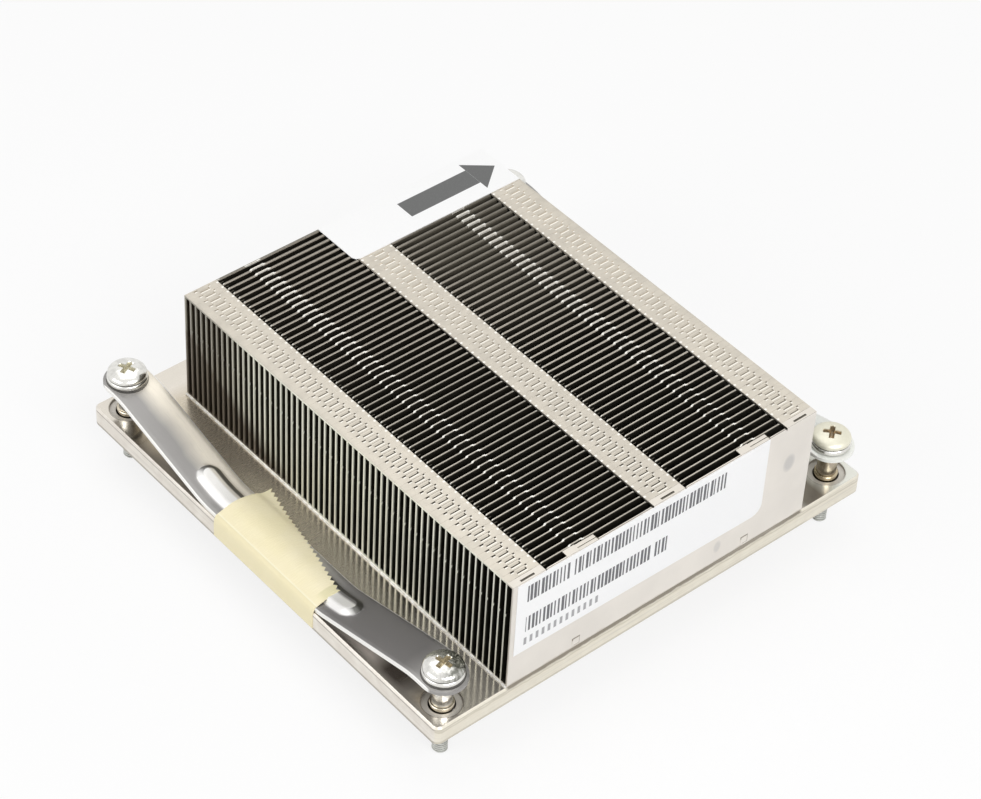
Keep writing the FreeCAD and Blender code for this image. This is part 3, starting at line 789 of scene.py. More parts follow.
def plate_finish():
    """Polished nickel with faint clouding, a satin edge, fine handling marks, and painted reflections, light
    and shade.
    """
    f, tints = Finish("plate_polished_nickel"), paints()
    face = f.z.above(PLATE_HIGH.z - 0.05, 0.03)
    marks = f.noise(2.4, 2.0, f.stretched(0.25, 3.0, 1.0)).above(0.60, 0.08)
    # Right front corner, where painted reflections lie: bright by the screw and dark to its left
    corner = f.x.above(31.0, 1.5) * f.y.below(-30.0, 3.0)

    # Painted reflections, light and shade in the polished top: behind the fins, and under and beside the near
    # spring
    # Painted reflection of the fins in the top
    behind = f.y.above(-22.0, 26.0) * abs(f.x).below(37.0, 1.5) * f.y.below(36.5, 3.0)
    under = f.x.within(-43.8, -38.0, 1.2)
    # Painted reflection of the spring's dark underside
    dark = under * f.y.within(-35.5, -27.0, 3.0)
    # Painted light under the spring, lifting its shadow
    hid = under * f.y.within(-30.0, -10.0, 4.0)
    # Painted tan reflection beside the front screw
    tan = under * f.y.within(-42.0, -35.0, 2.5)
    speckled_reflection = f.mix(f.noise(0.5, 2.0).above(0.4, 0.2), (0.42, 0.33, 0.20), (0.70, 0.60, 0.44))
    warm = f.coats(
        f.mix(f.noise(0.07, 4.0).above(0.38, 0.3), tints.plate, tinted(tints.plate, 0.90)),
        (behind * 0.65, (0.50, 0.43, 0.31)),
        (hid * 0.85, (0.84, 0.75, 0.68)),
        (dark * 0.75, (0.13, 0.09, 0.07)),
        (tan * 0.7, speckled_reflection),
        (corner * 0.85, (0.82, 0.83, 0.76)),
        (corner * f.x.below(35.6, 2.0) * 0.8, (0.17, 0.13, 0.09)),
    )

    # Satin sides with painted shade lines and bands, and the screw holes and the recess round each, with
    # painted shade in them
    # Painted shade lines along the sides: at the foot and just under the top edge
    line = f.z.below(0.35, 0.15).most(f.z.within(2.78, 3.1, 0.08))
    near = f.y.below(-43.5, 0.3)
    # Painted shade along the top of the front side, under the fins
    seam_shade = (f.z + 0.5 * f.noise(0.7, 3.0)).above(3.22, 0.15) * abs(f.x).below(30.3, 0.6)
    # A dimmer, uneven band just below it
    uneven_band = (f.z + 0.9 * f.noise(0.5, 3.0)).within(2.7, 3.2, 0.15)
    drawn = f.noise(0.9, 3.0, f.stretched(0.06, 0.06, 3.0)).above(0.5, 0.2)
    *_, out = from_screw(f)
    side = f.coats(
        f.mix(f.noise(0.5, 3.0).above(0.4, 0.3), (0.74, 0.69, 0.62), (0.82, 0.78, 0.71)),
        (line * (0.7 - 0.5 * corner), (0.27, 0.24, 0.20)),
        (near * 0.5, (0.80, 0.75, 0.60)),
        (near * seam_shade * 0.8, (0.12, 0.095, 0.065)),
        (near * uneven_band * 0.4, (0.42, 0.38, 0.27)),
        (drawn * 0.35, (0.52, 0.48, 0.42)),
        # The recess round each hole painted a darker grey, and the hole near-black, as shade
        (out.below(3.2, 0.05), (0.60, 0.57, 0.52)),
        (out.below(2.12, 0.06), (0.05, 0.042, 0.032)),
    )
    # Painted shade round the edge of each recess, weaker at the right front corner
    ring = out.within(3.06, 3.34, 0.06) * f.z.above(2.9, 0.1)
    gloss = 0.62 - 0.24 * f.y.below(-28.0, 6.0) - 0.25 * tan - 0.6 * hid - 0.2 * behind - 0.3 * corner
    return f.set(
        Base_Color=f.mix(ring * (0.45 - 0.25 * corner), f.mix(face, side, warm), (0.10, 0.075, 0.055)),
        Metallic=0.35 + gloss * face,
        Roughness=0.40 - 0.27 * face + 0.05 * marks + 0.14 * behind * face,
    )


def solder_finish():
    """Grainy tin solder, lighter and darker in small patches, with small bumps."""
    f, tints = Finish("solder_tin"), paints()
    beads = f.noise(1.4, 3.0)
    f.bump(beads, 0.0001)
    return f.set(
        Base_Color=f.mix(beads.above(0.4, 0.2), tinted(tints.solder, 0.8), tinted(tints.solder, 1.2)),
        Metallic=0.2,
        Roughness=0.35 + 0.25 * beads,
    )


def spring_finish():
    """Rolled spring steel with lengthwise scratches, darker towards the front end, with a painted sheen on
    its inner side, a painted highlight and shade on the bead, painted highlights on its edges and at the
    right front end, and a painted shadow round each washer.
    """
    f, g, tints = Finish("spring_rolled_steel"), Lengths("springs"), paints()
    scratch = f.noise(2.2, 5.0, f.stretched(2.6, 0.07, 1.0))
    fine = f.noise(7.0, 2.0, f.stretched(3.0, 0.05, 1.0))
    cloud = f.noise(0.10, 3.0)
    across, _, eye = from_screw(f)
    # Painted highlight along the edges
    rim = abs(across).above(3.66, 0.12)
    # Painted sheen on the inner side, towards the back
    inner = (0.0 - across + 2.4 * cloud).above(0.2, 3.0) * f.y.above(-14.0, 20.0)
    front = f.y * -1.0 + 6.0 * cloud
    dark = front.above(9.0, 13.0) * front.below(37.0, 4.0)
    over = (abs(f.y) - (g.bead_half - g.bead_wide)).most(0.0)
    ring = (across * across + over * over) ** 0.5
    # Painted shade on the inner flank of the bead, and a painted highlight on its crest and outer flank
    shade = ring.within(0.95, 2.2, 0.2) * across.below(0.3, 0.9)
    light = ring.below(1.95, 0.3) * across.above(-0.7, 0.4)
    # Painted light reflection on the right front end
    pale_reflection = f.x.above(30.0, 1.0) * f.y.below(-20.0, 14.0)
    f.bump(fine, 0.00001)
    return f.set(
        Base_Color=f.coats(
            f.mix(inner, tints.spring, tints.spring_sheen),
            (dark * 0.82, tints.spring_dark),
            (scratch.above(0.55, 0.12) * 0.10, (0.30, 0.29, 0.28)),
            (light * 0.85, (0.95, 0.94, 0.92)),
            (shade * 0.85, (0.055, 0.053, 0.045)),
            # Painted shadow round each washer
            (eye.within(3.25, 3.48, 0.08) * 0.8, (0.05, 0.045, 0.035)),
            (pale_reflection, (0.88, 0.89, 0.84)),
            (rim, (0.88, 0.87, 0.84)),
        ),
        Metallic=0.68 - 0.5 * pale_reflection,
        Roughness=0.36 + 0.14 * scratch,
    )


def screw_finish():
    """Bright zinc plating with a yellow tint in the recess, painted reflections on the front and right
    screws, and painted shade under the head and in the roots of the thread.
    """
    f, s, tints = Finish("screw_zinc"), Lengths("screws"), paints()
    centre, low, head = s.spacing / 2, s.head_low, s.head
    *_, out = from_screw(f)
    bow = (1 - (out / head).least(1.0) ** HEAD_BOW) ** HEAD_FALL
    dome = s.head_low + s.head_rim + (s.head_high - s.head_rim) * bow
    recess = (dome - f.z).above(0.08, 0.12) * out.below(2.0, 0.1) * f.z.above(low + 0.2, 0.1)
    cloud = f.noise(1.1, 3.0)
    streak = f.noise(1.9, 3.0, f.stretched(1.0, 1.0, 0.05))

    # Painted reflections: the right and the front screw reflect other things than the rest
    right_corner = f.x.above(30.0, 1.0) * f.y.below(-30.0, 1.0)
    # Painted light reflection on the right screw's head
    pale_reflection = right_corner * f.z.above(low, 0.1)
    # Painted brown reflection on the right screw's shaft
    shaft = right_corner * f.z.below(low - 0.5, 0.5)
    right = ((f.x + centre) * 0.765 - (f.y + centre) * 0.643).above(-0.9, 2.2)
    near = f.x.below(-30.0, 1.0) * f.y.below(-30.0, 1.0) * f.z.above(low, 0.1)
    # Painted brown reflection in the right screw's recess
    brown_reflection = f.mix(f.noise(1.5, 2.0).above(0.45, 0.14), (0.16, 0.10, 0.04), (0.62, 0.42, 0.20))
    pit = f.coats(
        f.mix(f.noise(1.7, 2.0).above(0.44, 0.14), (0.36, 0.31, 0.20), tints.gold),
        (1 - near, (0.62, 0.585, 0.44)),
        (pale_reflection, brown_reflection),
    )
    # Painted shade under the rim of the head
    under = f.z.within(low - 0.02, low + 0.16, 0.04) * out.above(head - 0.35, 0.15)
    collar = f.z.below(s.collar_top + 0.05, 0.1)
    tip = f.z.below(-0.5, 0.4)
    # Painted shade in the roots of the thread
    groove = tip * out.below(s.thread - s.ridge + 0.06, 0.08)
    f.bump(f.noise(2.5, 2.0), 0.00002)
    return f.set(
        Base_Color=f.coats(
            f.mix(cloud.above(0.4, 0.25), tints.screw, tinted(tints.screw, 0.84)),
            (pale_reflection * 0.8, (0.84, 0.81, 0.64)),
            # Painted dark reflection on the right part of the front screw's head
            (near * right * (0.45 + 0.55 * streak.above(0.42, 0.15)) * 0.85, (0.16, 0.165, 0.135)),
            (recess * 0.85, pit),
            (under * 0.9, (0.04, 0.04, 0.035)),
            (shaft * 0.7, (0.36, 0.28, 0.17)),
            (collar * 0.6, (0.58, 0.48, 0.31)),
            (tip, (0.66, 0.67, 0.63)),
            (groove * 0.7, (0.30, 0.30, 0.28)),
        ),
        Metallic=1.0 - 0.5 * tip.most(recess).most(pale_reflection),
        Roughness=0.13 + 0.14 * cloud + 0.25 * tip + 0.2 * pale_reflection,
    )


def washer_finish(name, tint):
    """Plated ring with a soft cloud in its polish, and painted shade along its top and its foot."""
    f = Finish(name)
    cloud = f.noise(0.8, 3.0)
    body = f.mix(cloud.above(0.4, 0.25), tint, tinted(tint, 0.85))
    low, high = WASHER_LOW.z, WASHER_HIGH.z
    # Painted shade where the ring meets the head above and the spring below
    seat_shade = f.z.within(low - 0.2, low + 0.16, 0.06).most(f.z.within(high - 0.12, high + 0.1, 0.04))
    f.bump(f.noise(2.0, 2.0), 0.00002)
    return f.set(
        Base_Color=f.mix(seat_shade * 0.9, body, (0.06, 0.055, 0.05)),
        Metallic=1.0,
        Roughness=0.16 + 0.14 * cloud,
    )


def label_finish():
    """White paper with two rows of plain bars and a row of small blocks."""
    f, p, tints = Finish("label_paper"), Lengths("papers"), paints()
    tilt, tilt_start = 0.014, 28.0
    high = f.z + tilt * (f.x + tilt_start)
    cells = f.x / p.module
    step = cells.floor()

    def row(top, tall, right, seed):
        """One row of bars of random width, with a gap here and there."""
        wide = 0.38 + 0.42 * f.chance(step + seed)
        bar = (wide - (cells - step)).above(0.0, 0.05) * f.chance(step + seed + 40.5).above(0.03, 0.001)
        return bar * high.within(top - tall, top, 0.05) * f.x.within(p.bars_left, right, 0.02)

    bars = row(p.upper_top, p.upper_tall, p.bars_right, 7.0)
    bars = bars.most(row(p.lower_top, p.lower_tall, p.bars_mid, 91.0))
    block_pitch, blocks_left, blocks_right = 1.18, -28.4, -13.0
    cell = f.x / block_pitch
    block = (cell - cell.floor()).within(0.2, 0.72, 0.06)
    small = block * high.within(11.3, 12.9, 0.1) * f.x.within(blocks_left, blocks_right, 0.02)
    fibre = f.noise(2.5, 4.0)
    f.bump(fibre, 0.00001)
    return f.set(
        Base_Color=f.coats(
            f.mix(fibre, tints.paper, tinted(tints.paper, 0.965)),
            (small * 0.62, tints.ink),
            (bars * 0.9, tints.ink),
        ),
        Roughness=0.42 + 0.1 * fibre,
        Specular_IOR_Level=0.35,
    )


def sticker_finish():
    """White sticker with a plain printed arrow."""
    f, p, tints = Finish("sticker_paper"), Lengths("papers"), paints()
    off = abs(f.y - p.arrow_line)
    shaft = off.below(p.arrow_shaft, 0.03) * f.x.within(p.arrow_tail, p.arrow_neck + 0.02, 0.03)
    taper = (p.arrow_tip - f.x) / (p.arrow_tip - p.arrow_neck) * p.arrow_barb
    head = (off - taper).below(0.0, 0.03) * f.x.above(p.arrow_neck, 0.03)
    fibre = f.noise(2.5, 4.0)
    paper = f.mix(fibre, (0.99, 0.99, 0.985), (0.96, 0.96, 0.96))
    ink = f.mix(f.noise(6.0, 3.0).above(0.58, 0.2), tints.arrow, tinted(tints.arrow, 1.5))
    f.bump(fibre, 0.00001)
    return f.set(
        Base_Color=f.mix(shaft.most(head), paper, ink),
        Roughness=0.40 + 0.1 * fibre,
        Specular_IOR_Level=0.35,
    )


def tape_finish():
    """Cream crepe masking tape, with painted shade on its lower parts, past its bend and at its front end,
    and a painted highlight along the bend.
    """
    f, tints = Finish("masking_tape"), paints()
    crepe = f.noise(1.6, 4.0, f.stretched(0.35, 2.2, 0.35))
    cloud = f.noise(0.16, 3.0)
    bend = -43.62
    # Painted shade on the front end, where the tape drops
    flap_shade = f.y.below(TAPE_LOW.y + 1.5, 0.3) * f.x.above(-42.6, 1.2)
    f.bump(crepe, 0.00006)
    return f.set(
        Base_Color=f.coats(
            f.mix(cloud.above(0.35, 0.35), tints.tape, (0.95, 0.87, 0.63)),
            # Painted shade on the lower parts and past the bend, and a painted highlight along the bend
            (f.z.below(3.4, 0.8) * 0.3, (0.84, 0.78, 0.58)),
            (f.x.below(bend, 0.12) * 0.55, (0.80, 0.72, 0.46)),
            (f.x.within(bend, -43.3, 0.1) * 0.5, (0.97, 0.93, 0.74)),
            (flap_shade * 0.6, (0.70, 0.66, 0.40)),
        ),
        Roughness=0.55 + 0.1 * crepe,
        Specular_IOR_Level=0.3,
    )


# Shape of one fin


def band_edges():
    """Both ends of each folded band along a fin."""
    fins, half = Lengths("fins"), FIN_HIGH.x
    mid = fins.mid_band / 2
    return [(-half, fins.side_band - half), (-mid, mid), (half - fins.side_band, half)]


def band_columns(start, end, front):
    """Places along one folded band, each a plain fold or a part of its lock."""
    slit = 0.035
    c = (start + end) / 2
    marks = [
        (c - 1.5, c - 0.85, "dash"),
        (c - 0.7, c + 0.94, "line"),
        (c + 0.94, c + 1.1, "hook"),
        (c + 1.3, c + 1.56, "dash"),
    ]
    if front:
        marks = [(c - 1.3, c + 1.3, "slot")]
    columns = [(start, "fold", "")]
    for left, right, what in marks:
        if what != "hook":
            columns.append((left - slit, "fold", ""))
        columns += [(left, "fold", what), (right, "fold", what)]
        if what != "line":
            columns.append((right + slit, "fold", ""))
    return columns + [(end, "fold", "")]


def tab_columns(shift):
    """Places along a small tab of the label fin."""
    fins, edge = Lengths("fins"), 0.06
    start, end = fins.tab_left + shift, fins.tab_right + shift
    step = start + 2.3
    return [
        (start - edge, "bare", 0.0), (start, "tab", ""), (step, "tab", ""),
        (step + edge, "low_tab", ""), (end, "low_tab", ""), (end + edge, "bare", 0.0),
    ]


def rib_columns(middle):
    """Places along a small rib of a fin, with a knot at each end."""
    reach = Lengths("fins").rib_long / 2
    columns = []
    for place, before, after in ((middle - reach, 0, 1), (middle + reach, 1, 0)):
        columns += [
            (place - 0.16, "bare", before), (place - 0.10, "knot", 0.5),
            (place + 0.10, "knot", 0.5), (place + 0.16, "bare", after),
        ]
    return columns


def fin_columns(front):
    """Places along a fin with what each is: a locked fold, a plain tab or a bare edge."""
    fins, bands = Lengths("fins"), band_edges()
    columns = band_columns(*bands[0], front)
    for number, (band, after) in enumerate(zip(bands, bands[1:])):
        end, start = band[1], after[0]
        columns += [(end + 0.06, "drop", 1.0), (end + 0.25, "drop", 0.3), (end + 0.5, "bare", 0.0)]
        if front:
            columns += tab_columns(fins.tab_shift if number else 0.0)
        else:
            columns += rib_columns(fins.rib_place * (1 if number else -1))
        columns += [(start - 0.5, "bare", 0.0), (start - 0.25, "drop", 0.3), (start - 0.06, "drop", 1.0)]
        columns += band_columns(*after, front)
    return columns


def fin_section(x, kind, what):
    """Section of a fin at one place: front at nought, folds towards the back."""
    fins = Lengths("fins")
    top, foot = FIN_HIGH.z, FIN_LOW.z
    t, reach, deep = fins.sheet, fins.fold, fins.groove
    rib = top - fins.rib_high
    rib_start = rib - 0.35
    shift = 0.0
    if kind in ("fold", "tab", "low_tab"):
        up = top - (0.14 if kind == "low_tab" else 0.0)
        line = deep if what in ("line", "hook", "slot") or kind == "low_tab" else 0.0
        start = 0.38 if what == "slot" else 0.56
        hook = deep if what == "hook" else 0.0
        dash = deep if what == "dash" else 0.0
        upper = [
            (0.0, up - 0.07), (0.02, up - 0.03), (0.05, up), (start - 0.03, up),
            (start, up - line), (0.70, up - line), (0.73, up - hook), (0.95, up - hook),
            (0.98, up), (1.15, up), (1.18, up - dash), (reach, up - dash),
            (reach, up - t), (t, up - t),
        ]
    else:
        up = top - (fins.relief * what if kind == "drop" else 0.0)
        shift = fins.rib_out * what if kind in ("bare", "knot") else 0.0
        upper = [(0.0, up - 0.10)] + [(0.07, up)] * 2 + [(t - 0.05, up)] * 10 + [(t, up - 0.10)]
        if kind == "knot":
            upper = [(y + (0.07 if y > t / 2 else -0.07), z) for y, z in upper]
        upper = [(y + shift, z) for y, z in upper]
    low = [(0.0, foot), (0.0, rib_start), (shift, rib)]
    back = [(t + shift, rib), (t, rib_start), (t, foot + t), (reach, foot + t), (reach, foot)]
    return [(x, y, z) for y, z in low + upper + back]


def fin_shape(front):
    return skin([fin_section(*column) for column in fin_columns(front)])


def dimple(x, z):
    """Small pressed mark that stands out of the front of a fin, at its side."""
    rows = []
    for place, half, front in ((x, 0.25, -0.16), (x - math.copysign(0.7, x), 0.1, 0.01)):
        low, high = z - half, z + half
        rows.append(
            [(place, front, low), (place, front, high), (place, 0.05, high + 0.1), (place, 0.05, low - 0.1)]
        )
    return skin(rows)


def lance(x, face):
    """Small square pressed out of the label fin's front."""
    rows = []
    for half, out in ((0.75, 0.05), (0.72, -0.07), (0.55, -0.09), (0.5, -0.03)):
        left, right, y = x - half, x + half, face + out
        low, high = LANCE_HIGH - half, LANCE_HIGH + half
        rows.append([(left, y, low), (right, y, low), (right, y, high), (left, y, high)])
    return skin(rows)


class HEATSINK_OT_fins(bpy.types.Operator):
    """Build the row of folded fins and the label fin"""

    bl_idname = "heatsink.fins"
    bl_label = "Fins"

    def execute(self, context):
        fins = context.scene.heatsink_fins
        nodes = frame["nodes"]
        metal = fin_finish("fin_nickel_dull")
        high = FIN_HIGH.z - Lengths("fins").dimple_drop
        marks = [dimple(x, high) for x in (FIN_LOW.x, FIN_HIGH.x)]
        stack = solid("fin_row", *join(fin_shape(False), *marks), [metal])
        values = {
            "Count": fins.count,
            "First": (0.0, FIN_LOW.y * MM + fins.pitch, 0.0),
            "Pitch": (0.0, fins.pitch, 0.0),
            "Finish": metal,
        }
        grow(stack, row_tree(), values)
        groups = [n for n in nodes if n.startswith("fin_group")]
        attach(stack, "cooler")
        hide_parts(*groups)
        face = FIN_LOW.y
        points, faces = fin_shape(True)
        points = [(x, y + face, z) for x, y, z in points]
        parts = join((points, faces), *[lance(x, face) for x in LANCES])
        front = solid("front_fin", *parts, [front_face_finish()])
        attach(front, "cooler")
        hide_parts("label_fin")
        nodes["end_fin"].data.materials[0] = fin_finish("end_fin_nickel")
        return {"FINISHED"}


class HEATSINK_OT_plate(bpy.types.Operator):
    """Finish the base plate and the solder under the fins"""

    bl_idname = "heatsink.plate"
    bl_label = "Plate"

    def execute(self, context):
        nodes = frame["nodes"]
        nodes["base_plate"].data.materials[0] = plate_finish()
        nodes["solder_layer"].data.materials[0] = solder_finish()
        return {"FINISHED"}


class HEATSINK_OT_springs(bpy.types.Operator):
    """Build the two leaf springs with their pressed beads"""

    bl_idname = "heatsink.springs"
    bl_label = "Springs"

    def level(self, y):
        """Height of the strip's underside, with its bends eased."""
        s = Lengths("springs")
        flat, land, lift, ease = s.flat, s.land, s.lift, s.ease
        slope = lift / (land - flat)
        parts = 8
        places = [abs(y) + ease * (2 * i / parts - 1) for i in range(parts + 1)]
        spread = [min(max((t - flat) * slope, 0.0), lift) for t in places]
        return PLATE_HIGH.z + sum(spread) / len(spread)

    def bead(self, x, y):
        """Height of the pressed bead above the strip."""
        s = Lengths("springs")
        out = math.hypot(x, max(0.0, abs(y) - (s.bead_half - s.bead_wide)))
        return s.bead_high * smooth((s.bead_wide - out) / s.bead_flank)

    def build(self, name, side, metal):
        s = Lengths("springs")
        centre = Lengths("screws").spacing / 2
        wide = (SPRING_HIGH.x - SPRING_LOW.x) / 2
        reach = SPRING_HIGH.y
        steps = 28
        turn = [math.pi * i / steps for i in range(steps + 1)]
        end = [(wide * math.cos(a), reach - wide + wide * math.sin(a)) for a in turn]
        start = [(-x, -y) for x, y in end]
        outline = lined(end + start, 1.2)
        holes = [[(x, y + centre * k) for x, y in circle(s.hole, 32)] for k in (-1, 1)]
        columns = [0.4, 0.85, 1.2, 1.45, 1.7, 1.95, 2.2, 2.5, 3.0, 3.7]
        columns = [-x for x in columns[::-1]] + [0.0] + columns

        def out(x, y):
            """Distance from the middle line, or from the middle of the rounded end."""
            return math.hypot(x, max(0.0, abs(y) - (reach - wide)))

        dots = []
        row_step, rows = 0.66, 65
        for y in [i * row_step for i in range(-rows, rows + 1)]:
            for x in columns:
                if out(x, y) < wide - 0.15 and math.hypot(x, abs(y) - centre) > s.hole + 0.25:
                    dots.append((x, y))
        flat, faces = plan([outline], holes, dots)
        thick = s.thick

        def place(x, y, upper):
            fall = 1 - smooth((wide - out(x, y)) / 0.15)
            round_off = 0.12 * fall if upper else -0.08 * fall
            z = self.level(y)
            return x + side * centre, y, z + upper * (thick + self.bead(x, y)) - round_off

        made = solid(name, *sheet_skin(flat, faces, place), [metal], 38.0)
        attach(made, "cooler")
        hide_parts("leaf_" + name)

    def execute(self, context):
        metal = spring_finish()
        self.build("spring_inlet", -1, metal)
        self.build("spring_outlet", 1, metal)
        return {"FINISHED"}


class HEATSINK_OT_screws(bpy.types.Operator):
    """Build the four screws, their washers and the finish of the rings"""

    bl_idname = "heatsink.screws"
    bl_label = "Screws"

    def dome(self, x, y):
        """Height of the head's top, with its cross recess."""
        s = Lengths("screws")
        out = min(math.hypot(x, y) / s.head, 1.0)
        bow = (1 - out**HEAD_BOW) ** HEAD_FALL
        z = s.head_low + s.head_rim + (s.head_high - s.head_rim) * bow
        half, long = s.slot, s.recess
        depth = max(min(half - abs(x), long - abs(y)), min(half - abs(y), long - abs(x)))
        return z - s.deep * min(max(depth / s.slope, 0.0), 1.0)

    def cross(self, half, long):
        """Outline of the cross recess."""
        points = []
        for c, s in ((1, 0), (0, 1), (-1, 0), (0, -1)):
            points += [(c * x - s * y, s * x + c * y) for x, y in ((long, -half), (long, half), (half, half))]
        return points

    def blank(self):
        """Screw without its thread, upright on the axis."""
        s = Lengths("screws")
        head, low, neck, collar = s.head, s.head_low, s.neck, s.collar
        core, tip, thread_top = s.thread - s.ridge, SCREW_LOW.z, s.thread_top
        z0, z1 = s.collar_low, s.collar_top
        inner, slant = 2.0, 0.707
        profile = [
            (0.0, tip), (core - 0.25, tip), (core, tip + 0.3), (core, thread_top),
            (neck, thread_top + 0.15), (neck, z0), (collar - 0.12, z0), (collar, z0 + 0.12),
            (collar, z1 - 0.12), (collar - 0.1, z1), (s.shoulder, z1 + 0.05), (s.shoulder, low),
            (head - 0.1, low), (head, low + 0.1), (head, low + s.head_rim),
        ]
        rings = [head * k for k in (0.997, 0.985, 0.96, 0.92, 0.86, 0.79)] + [inner]
        profile += [(r, self.dome(slant * r, slant * r)) for r in rings]
        creases = [self.cross(s.slot, s.recess), self.cross(s.slot - s.slope, s.recess - s.slope)]
        creases = [lined(c, 0.35) for c in creases]
        step, parts = 0.3, range(-7, 8)
        grid = [(x * step, y * step) for x in parts for y in parts]
        dots = [(x, y) for x, y in grid if 0.4 < math.hypot(x, y) < inner - 0.15]
        flat, faces = plan([circle(inner)] + creases, [], dots)
        top = [(x, y, self.dome(x, y)) for x, y in flat], faces
        return join(skin(turned_rows(profile), caps=False), top)

    def washer(self):
        """Ring with a rounded section."""
        outer, bore = (WASHER_HIGH.x - WASHER_LOW.x) / 2, Lengths("screws").washer_bore
        low, high = WASHER_LOW.z, WASHER_HIGH.z
        middle, wide, tall = (outer + bore) / 2, (outer - bore) / 2, (high - low) / 2
        section = []
        for c, n in circle(1.0, 18):
            r = middle + wide * math.copysign(abs(c) ** 0.7, c)
            section.append((r, (low + high) / 2 + tall * math.copysign(abs(n) ** 0.7, n)))
        return skin(turned_rows(section + section[:1]), caps=False)

    def execute(self, context):
        s, nodes = context.scene.heatsink_screws, frame["nodes"]
        metal, tree = screw_finish(), screw_tree()
        turns = {"front": 12.0, "right": 40.0, "back": 71.0, "left": 25.0}
        low, high = SCREW_LOW.z * MM + 0.5 * s.thread_pitch, s.thread_top - s.ridge
        for corner, (side, end) in CORNERS.items():
            made = solid("pan_screw_" + corner, *self.blank(), [metal], 30.0)
            values = {
                "Turns": (high - low) / s.thread_pitch,
                "Length": high - low,
                "Radius": s.thread - s.ridge,
                "Ridge": s.ridge,
                "Low": (0.0, 0.0, low),
                "Corner": (side * s.spacing / 2, end * s.spacing / 2, 0.0),
                "Turn": (0.0, 0.0, math.radians(turns[corner])),
                "Finish": metal,
            }
            grow(made, tree, values)
            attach(made, "screw_unit_" + corner)
            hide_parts("screw_" + corner)
        plating = washer_finish("washer_zinc", tuple(paints().screw))
        washers = solid("washers", *self.washer(), [plating], 50.0)
        grow(washers, corner_tree(), {"Spacing": s.spacing, "Finish": plating})
        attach(washers, "cooler")
        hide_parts(*["washer_" + c for c in CORNERS])
        clip = washer_finish("ring_steel", (0.42, 0.41, 0.40))
        for corner in CORNERS:
            nodes["retaining_ring_" + corner].data.materials[0] = clip
        return {"FINISHED"}


class HEATSINK_OT_papers(bpy.types.Operator):
    """Print the label and the sticker"""

    bl_idname = "heatsink.papers"
    bl_label = "Label and sticker"

    def execute(self, context):
        nodes = frame["nodes"]
        nodes["front_label"].data.materials[0] = label_finish()
        nodes["top_sticker"].data.materials[0] = sticker_finish()
        return {"FINISHED"}


class HEATSINK_OT_tape(bpy.types.Operator):
    """Lay the strip of masking tape over the inlet spring"""

    bl_idname = "heatsink.tape"
    bl_label = "Tape"

    def line(self):
        """Line of the tape's underside from the plate's side to the torn edge."""
        side = [
            (-44.24, 0.25), (-44.24, 1.4), (-44.235, 2.6), (-44.22, 3.1), (-44.15, 3.55),
            (-44.03, 4.0), (-43.9, 4.26),
        ]
        over = [
            (-43.7, 0.86), (-43.2, 0.97), (-42.6, 1.12), (-42.0, 1.28), (-41.4, 1.45),
            (-40.9, 1.57), (-40.4, 1.62), (-39.8, 1.62), (-39.2, 1.59), (-38.6, 1.48),
            (-38.0, 1.34), (-37.3, 1.16), (-36.6, 0.98), (-36.1, 0.80), (-35.7, 0.56),
            (-35.3, 0.32), (-34.9, 0.14), (-34.4, 0.05), (-33.6, 0.02), (-32.0, 0.02),
        ]
        return side + [(x, PLATE_HIGH.z + z) for x, z in over]

    def execute(self, context):
        p = Lengths("papers")
        line = self.line()
        runs = [0.0]
        for a, b in zip(line, line[1:]):
            runs.append(runs[-1] + math.dist(a, b))

        def at(u):
            """Point and outward direction at a distance along the line."""
            u = min(max(u, 0.0), runs[-1] - 1e-6)
            i = max(k for k in range(len(runs)) if runs[k] <= u)
            i = min(i, len(line) - 2)
            t = (u - runs[i]) / (runs[i + 1] - runs[i])
            (x0, z0), (x1, z1) = line[i], line[i + 1]
            out = Vector((-(z1 - z0), x1 - x0)).normalized()
            return x0 + (x1 - x0) * t, z0 + (z1 - z0) * t, out

        def run_at(x):
            """Distance along the line at a place over the spring."""
            spring_start = 9
            for i in range(spring_start, len(line) - 1):
                x0, x1 = line[i][0], line[i + 1][0]
                if x0 <= x <= x1:
                    return runs[i] + (runs[i + 1] - runs[i]) * (x - x0) / (x1 - x0)
            return runs[-1]

        front, back = TAPE_LOW.y, TAPE_HIGH.y
        torn = [(run_at(-38.95), front), (run_at(-36.0), -2.6), (run_at(TAPE_HIGH.x - 0.02), back)]
        teeth = round((back - front) / p.tooth)
        edge = []
        for i in range(teeth * 2 + 1):
            y = front + (back - front) * i / (teeth * 2)
            (u0, y0), (u1, y1) = torn[:2] if y < torn[1][1] else torn[1:]
            u = u0 + (u1 - u0) * (y - y0) / (y1 - y0)
            edge.append((u - (p.tooth_deep if i % 2 else 0.0), y))
        outline = lined([(0.0, back), (0.0, front)] + edge, 0.8)
        rows, room = 38, 0.3
        around = ((0.0, 0.0), (room, 0.0), (0.0, room), (0.0, -room))
        dots = []
        for i in range(1, rows):
            y = front + (back - front) * i / rows
            dots += [(u, y) for u in runs[1:-1] if all(inside(u + a, y + b, outline) for a, b in around)]
        flat, faces = plan([outline], [], dots)
        thick = p.tape_thick

        def place(u, y, upper):
            x, z, out = at(u)
            before, after = at(u - 0.15)[2], at(u + 0.15)[2]
            out = (out + before + after).normalized()
            wave = 0.05 * math.sin(y * 0.9 + 1.3) * smooth((x + 43.6) / 1.2) * smooth((-36.2 - x) / 1.0)
            return x + out.x * thick * upper, y, z + out.y * thick * upper + max(0.0, wave)

        made = solid("tape_strip", *sheet_skin(flat, faces, place), [tape_finish()], 40.0)
        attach(made, "cooler")
        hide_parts("tape")
        return {"FINISHED"}


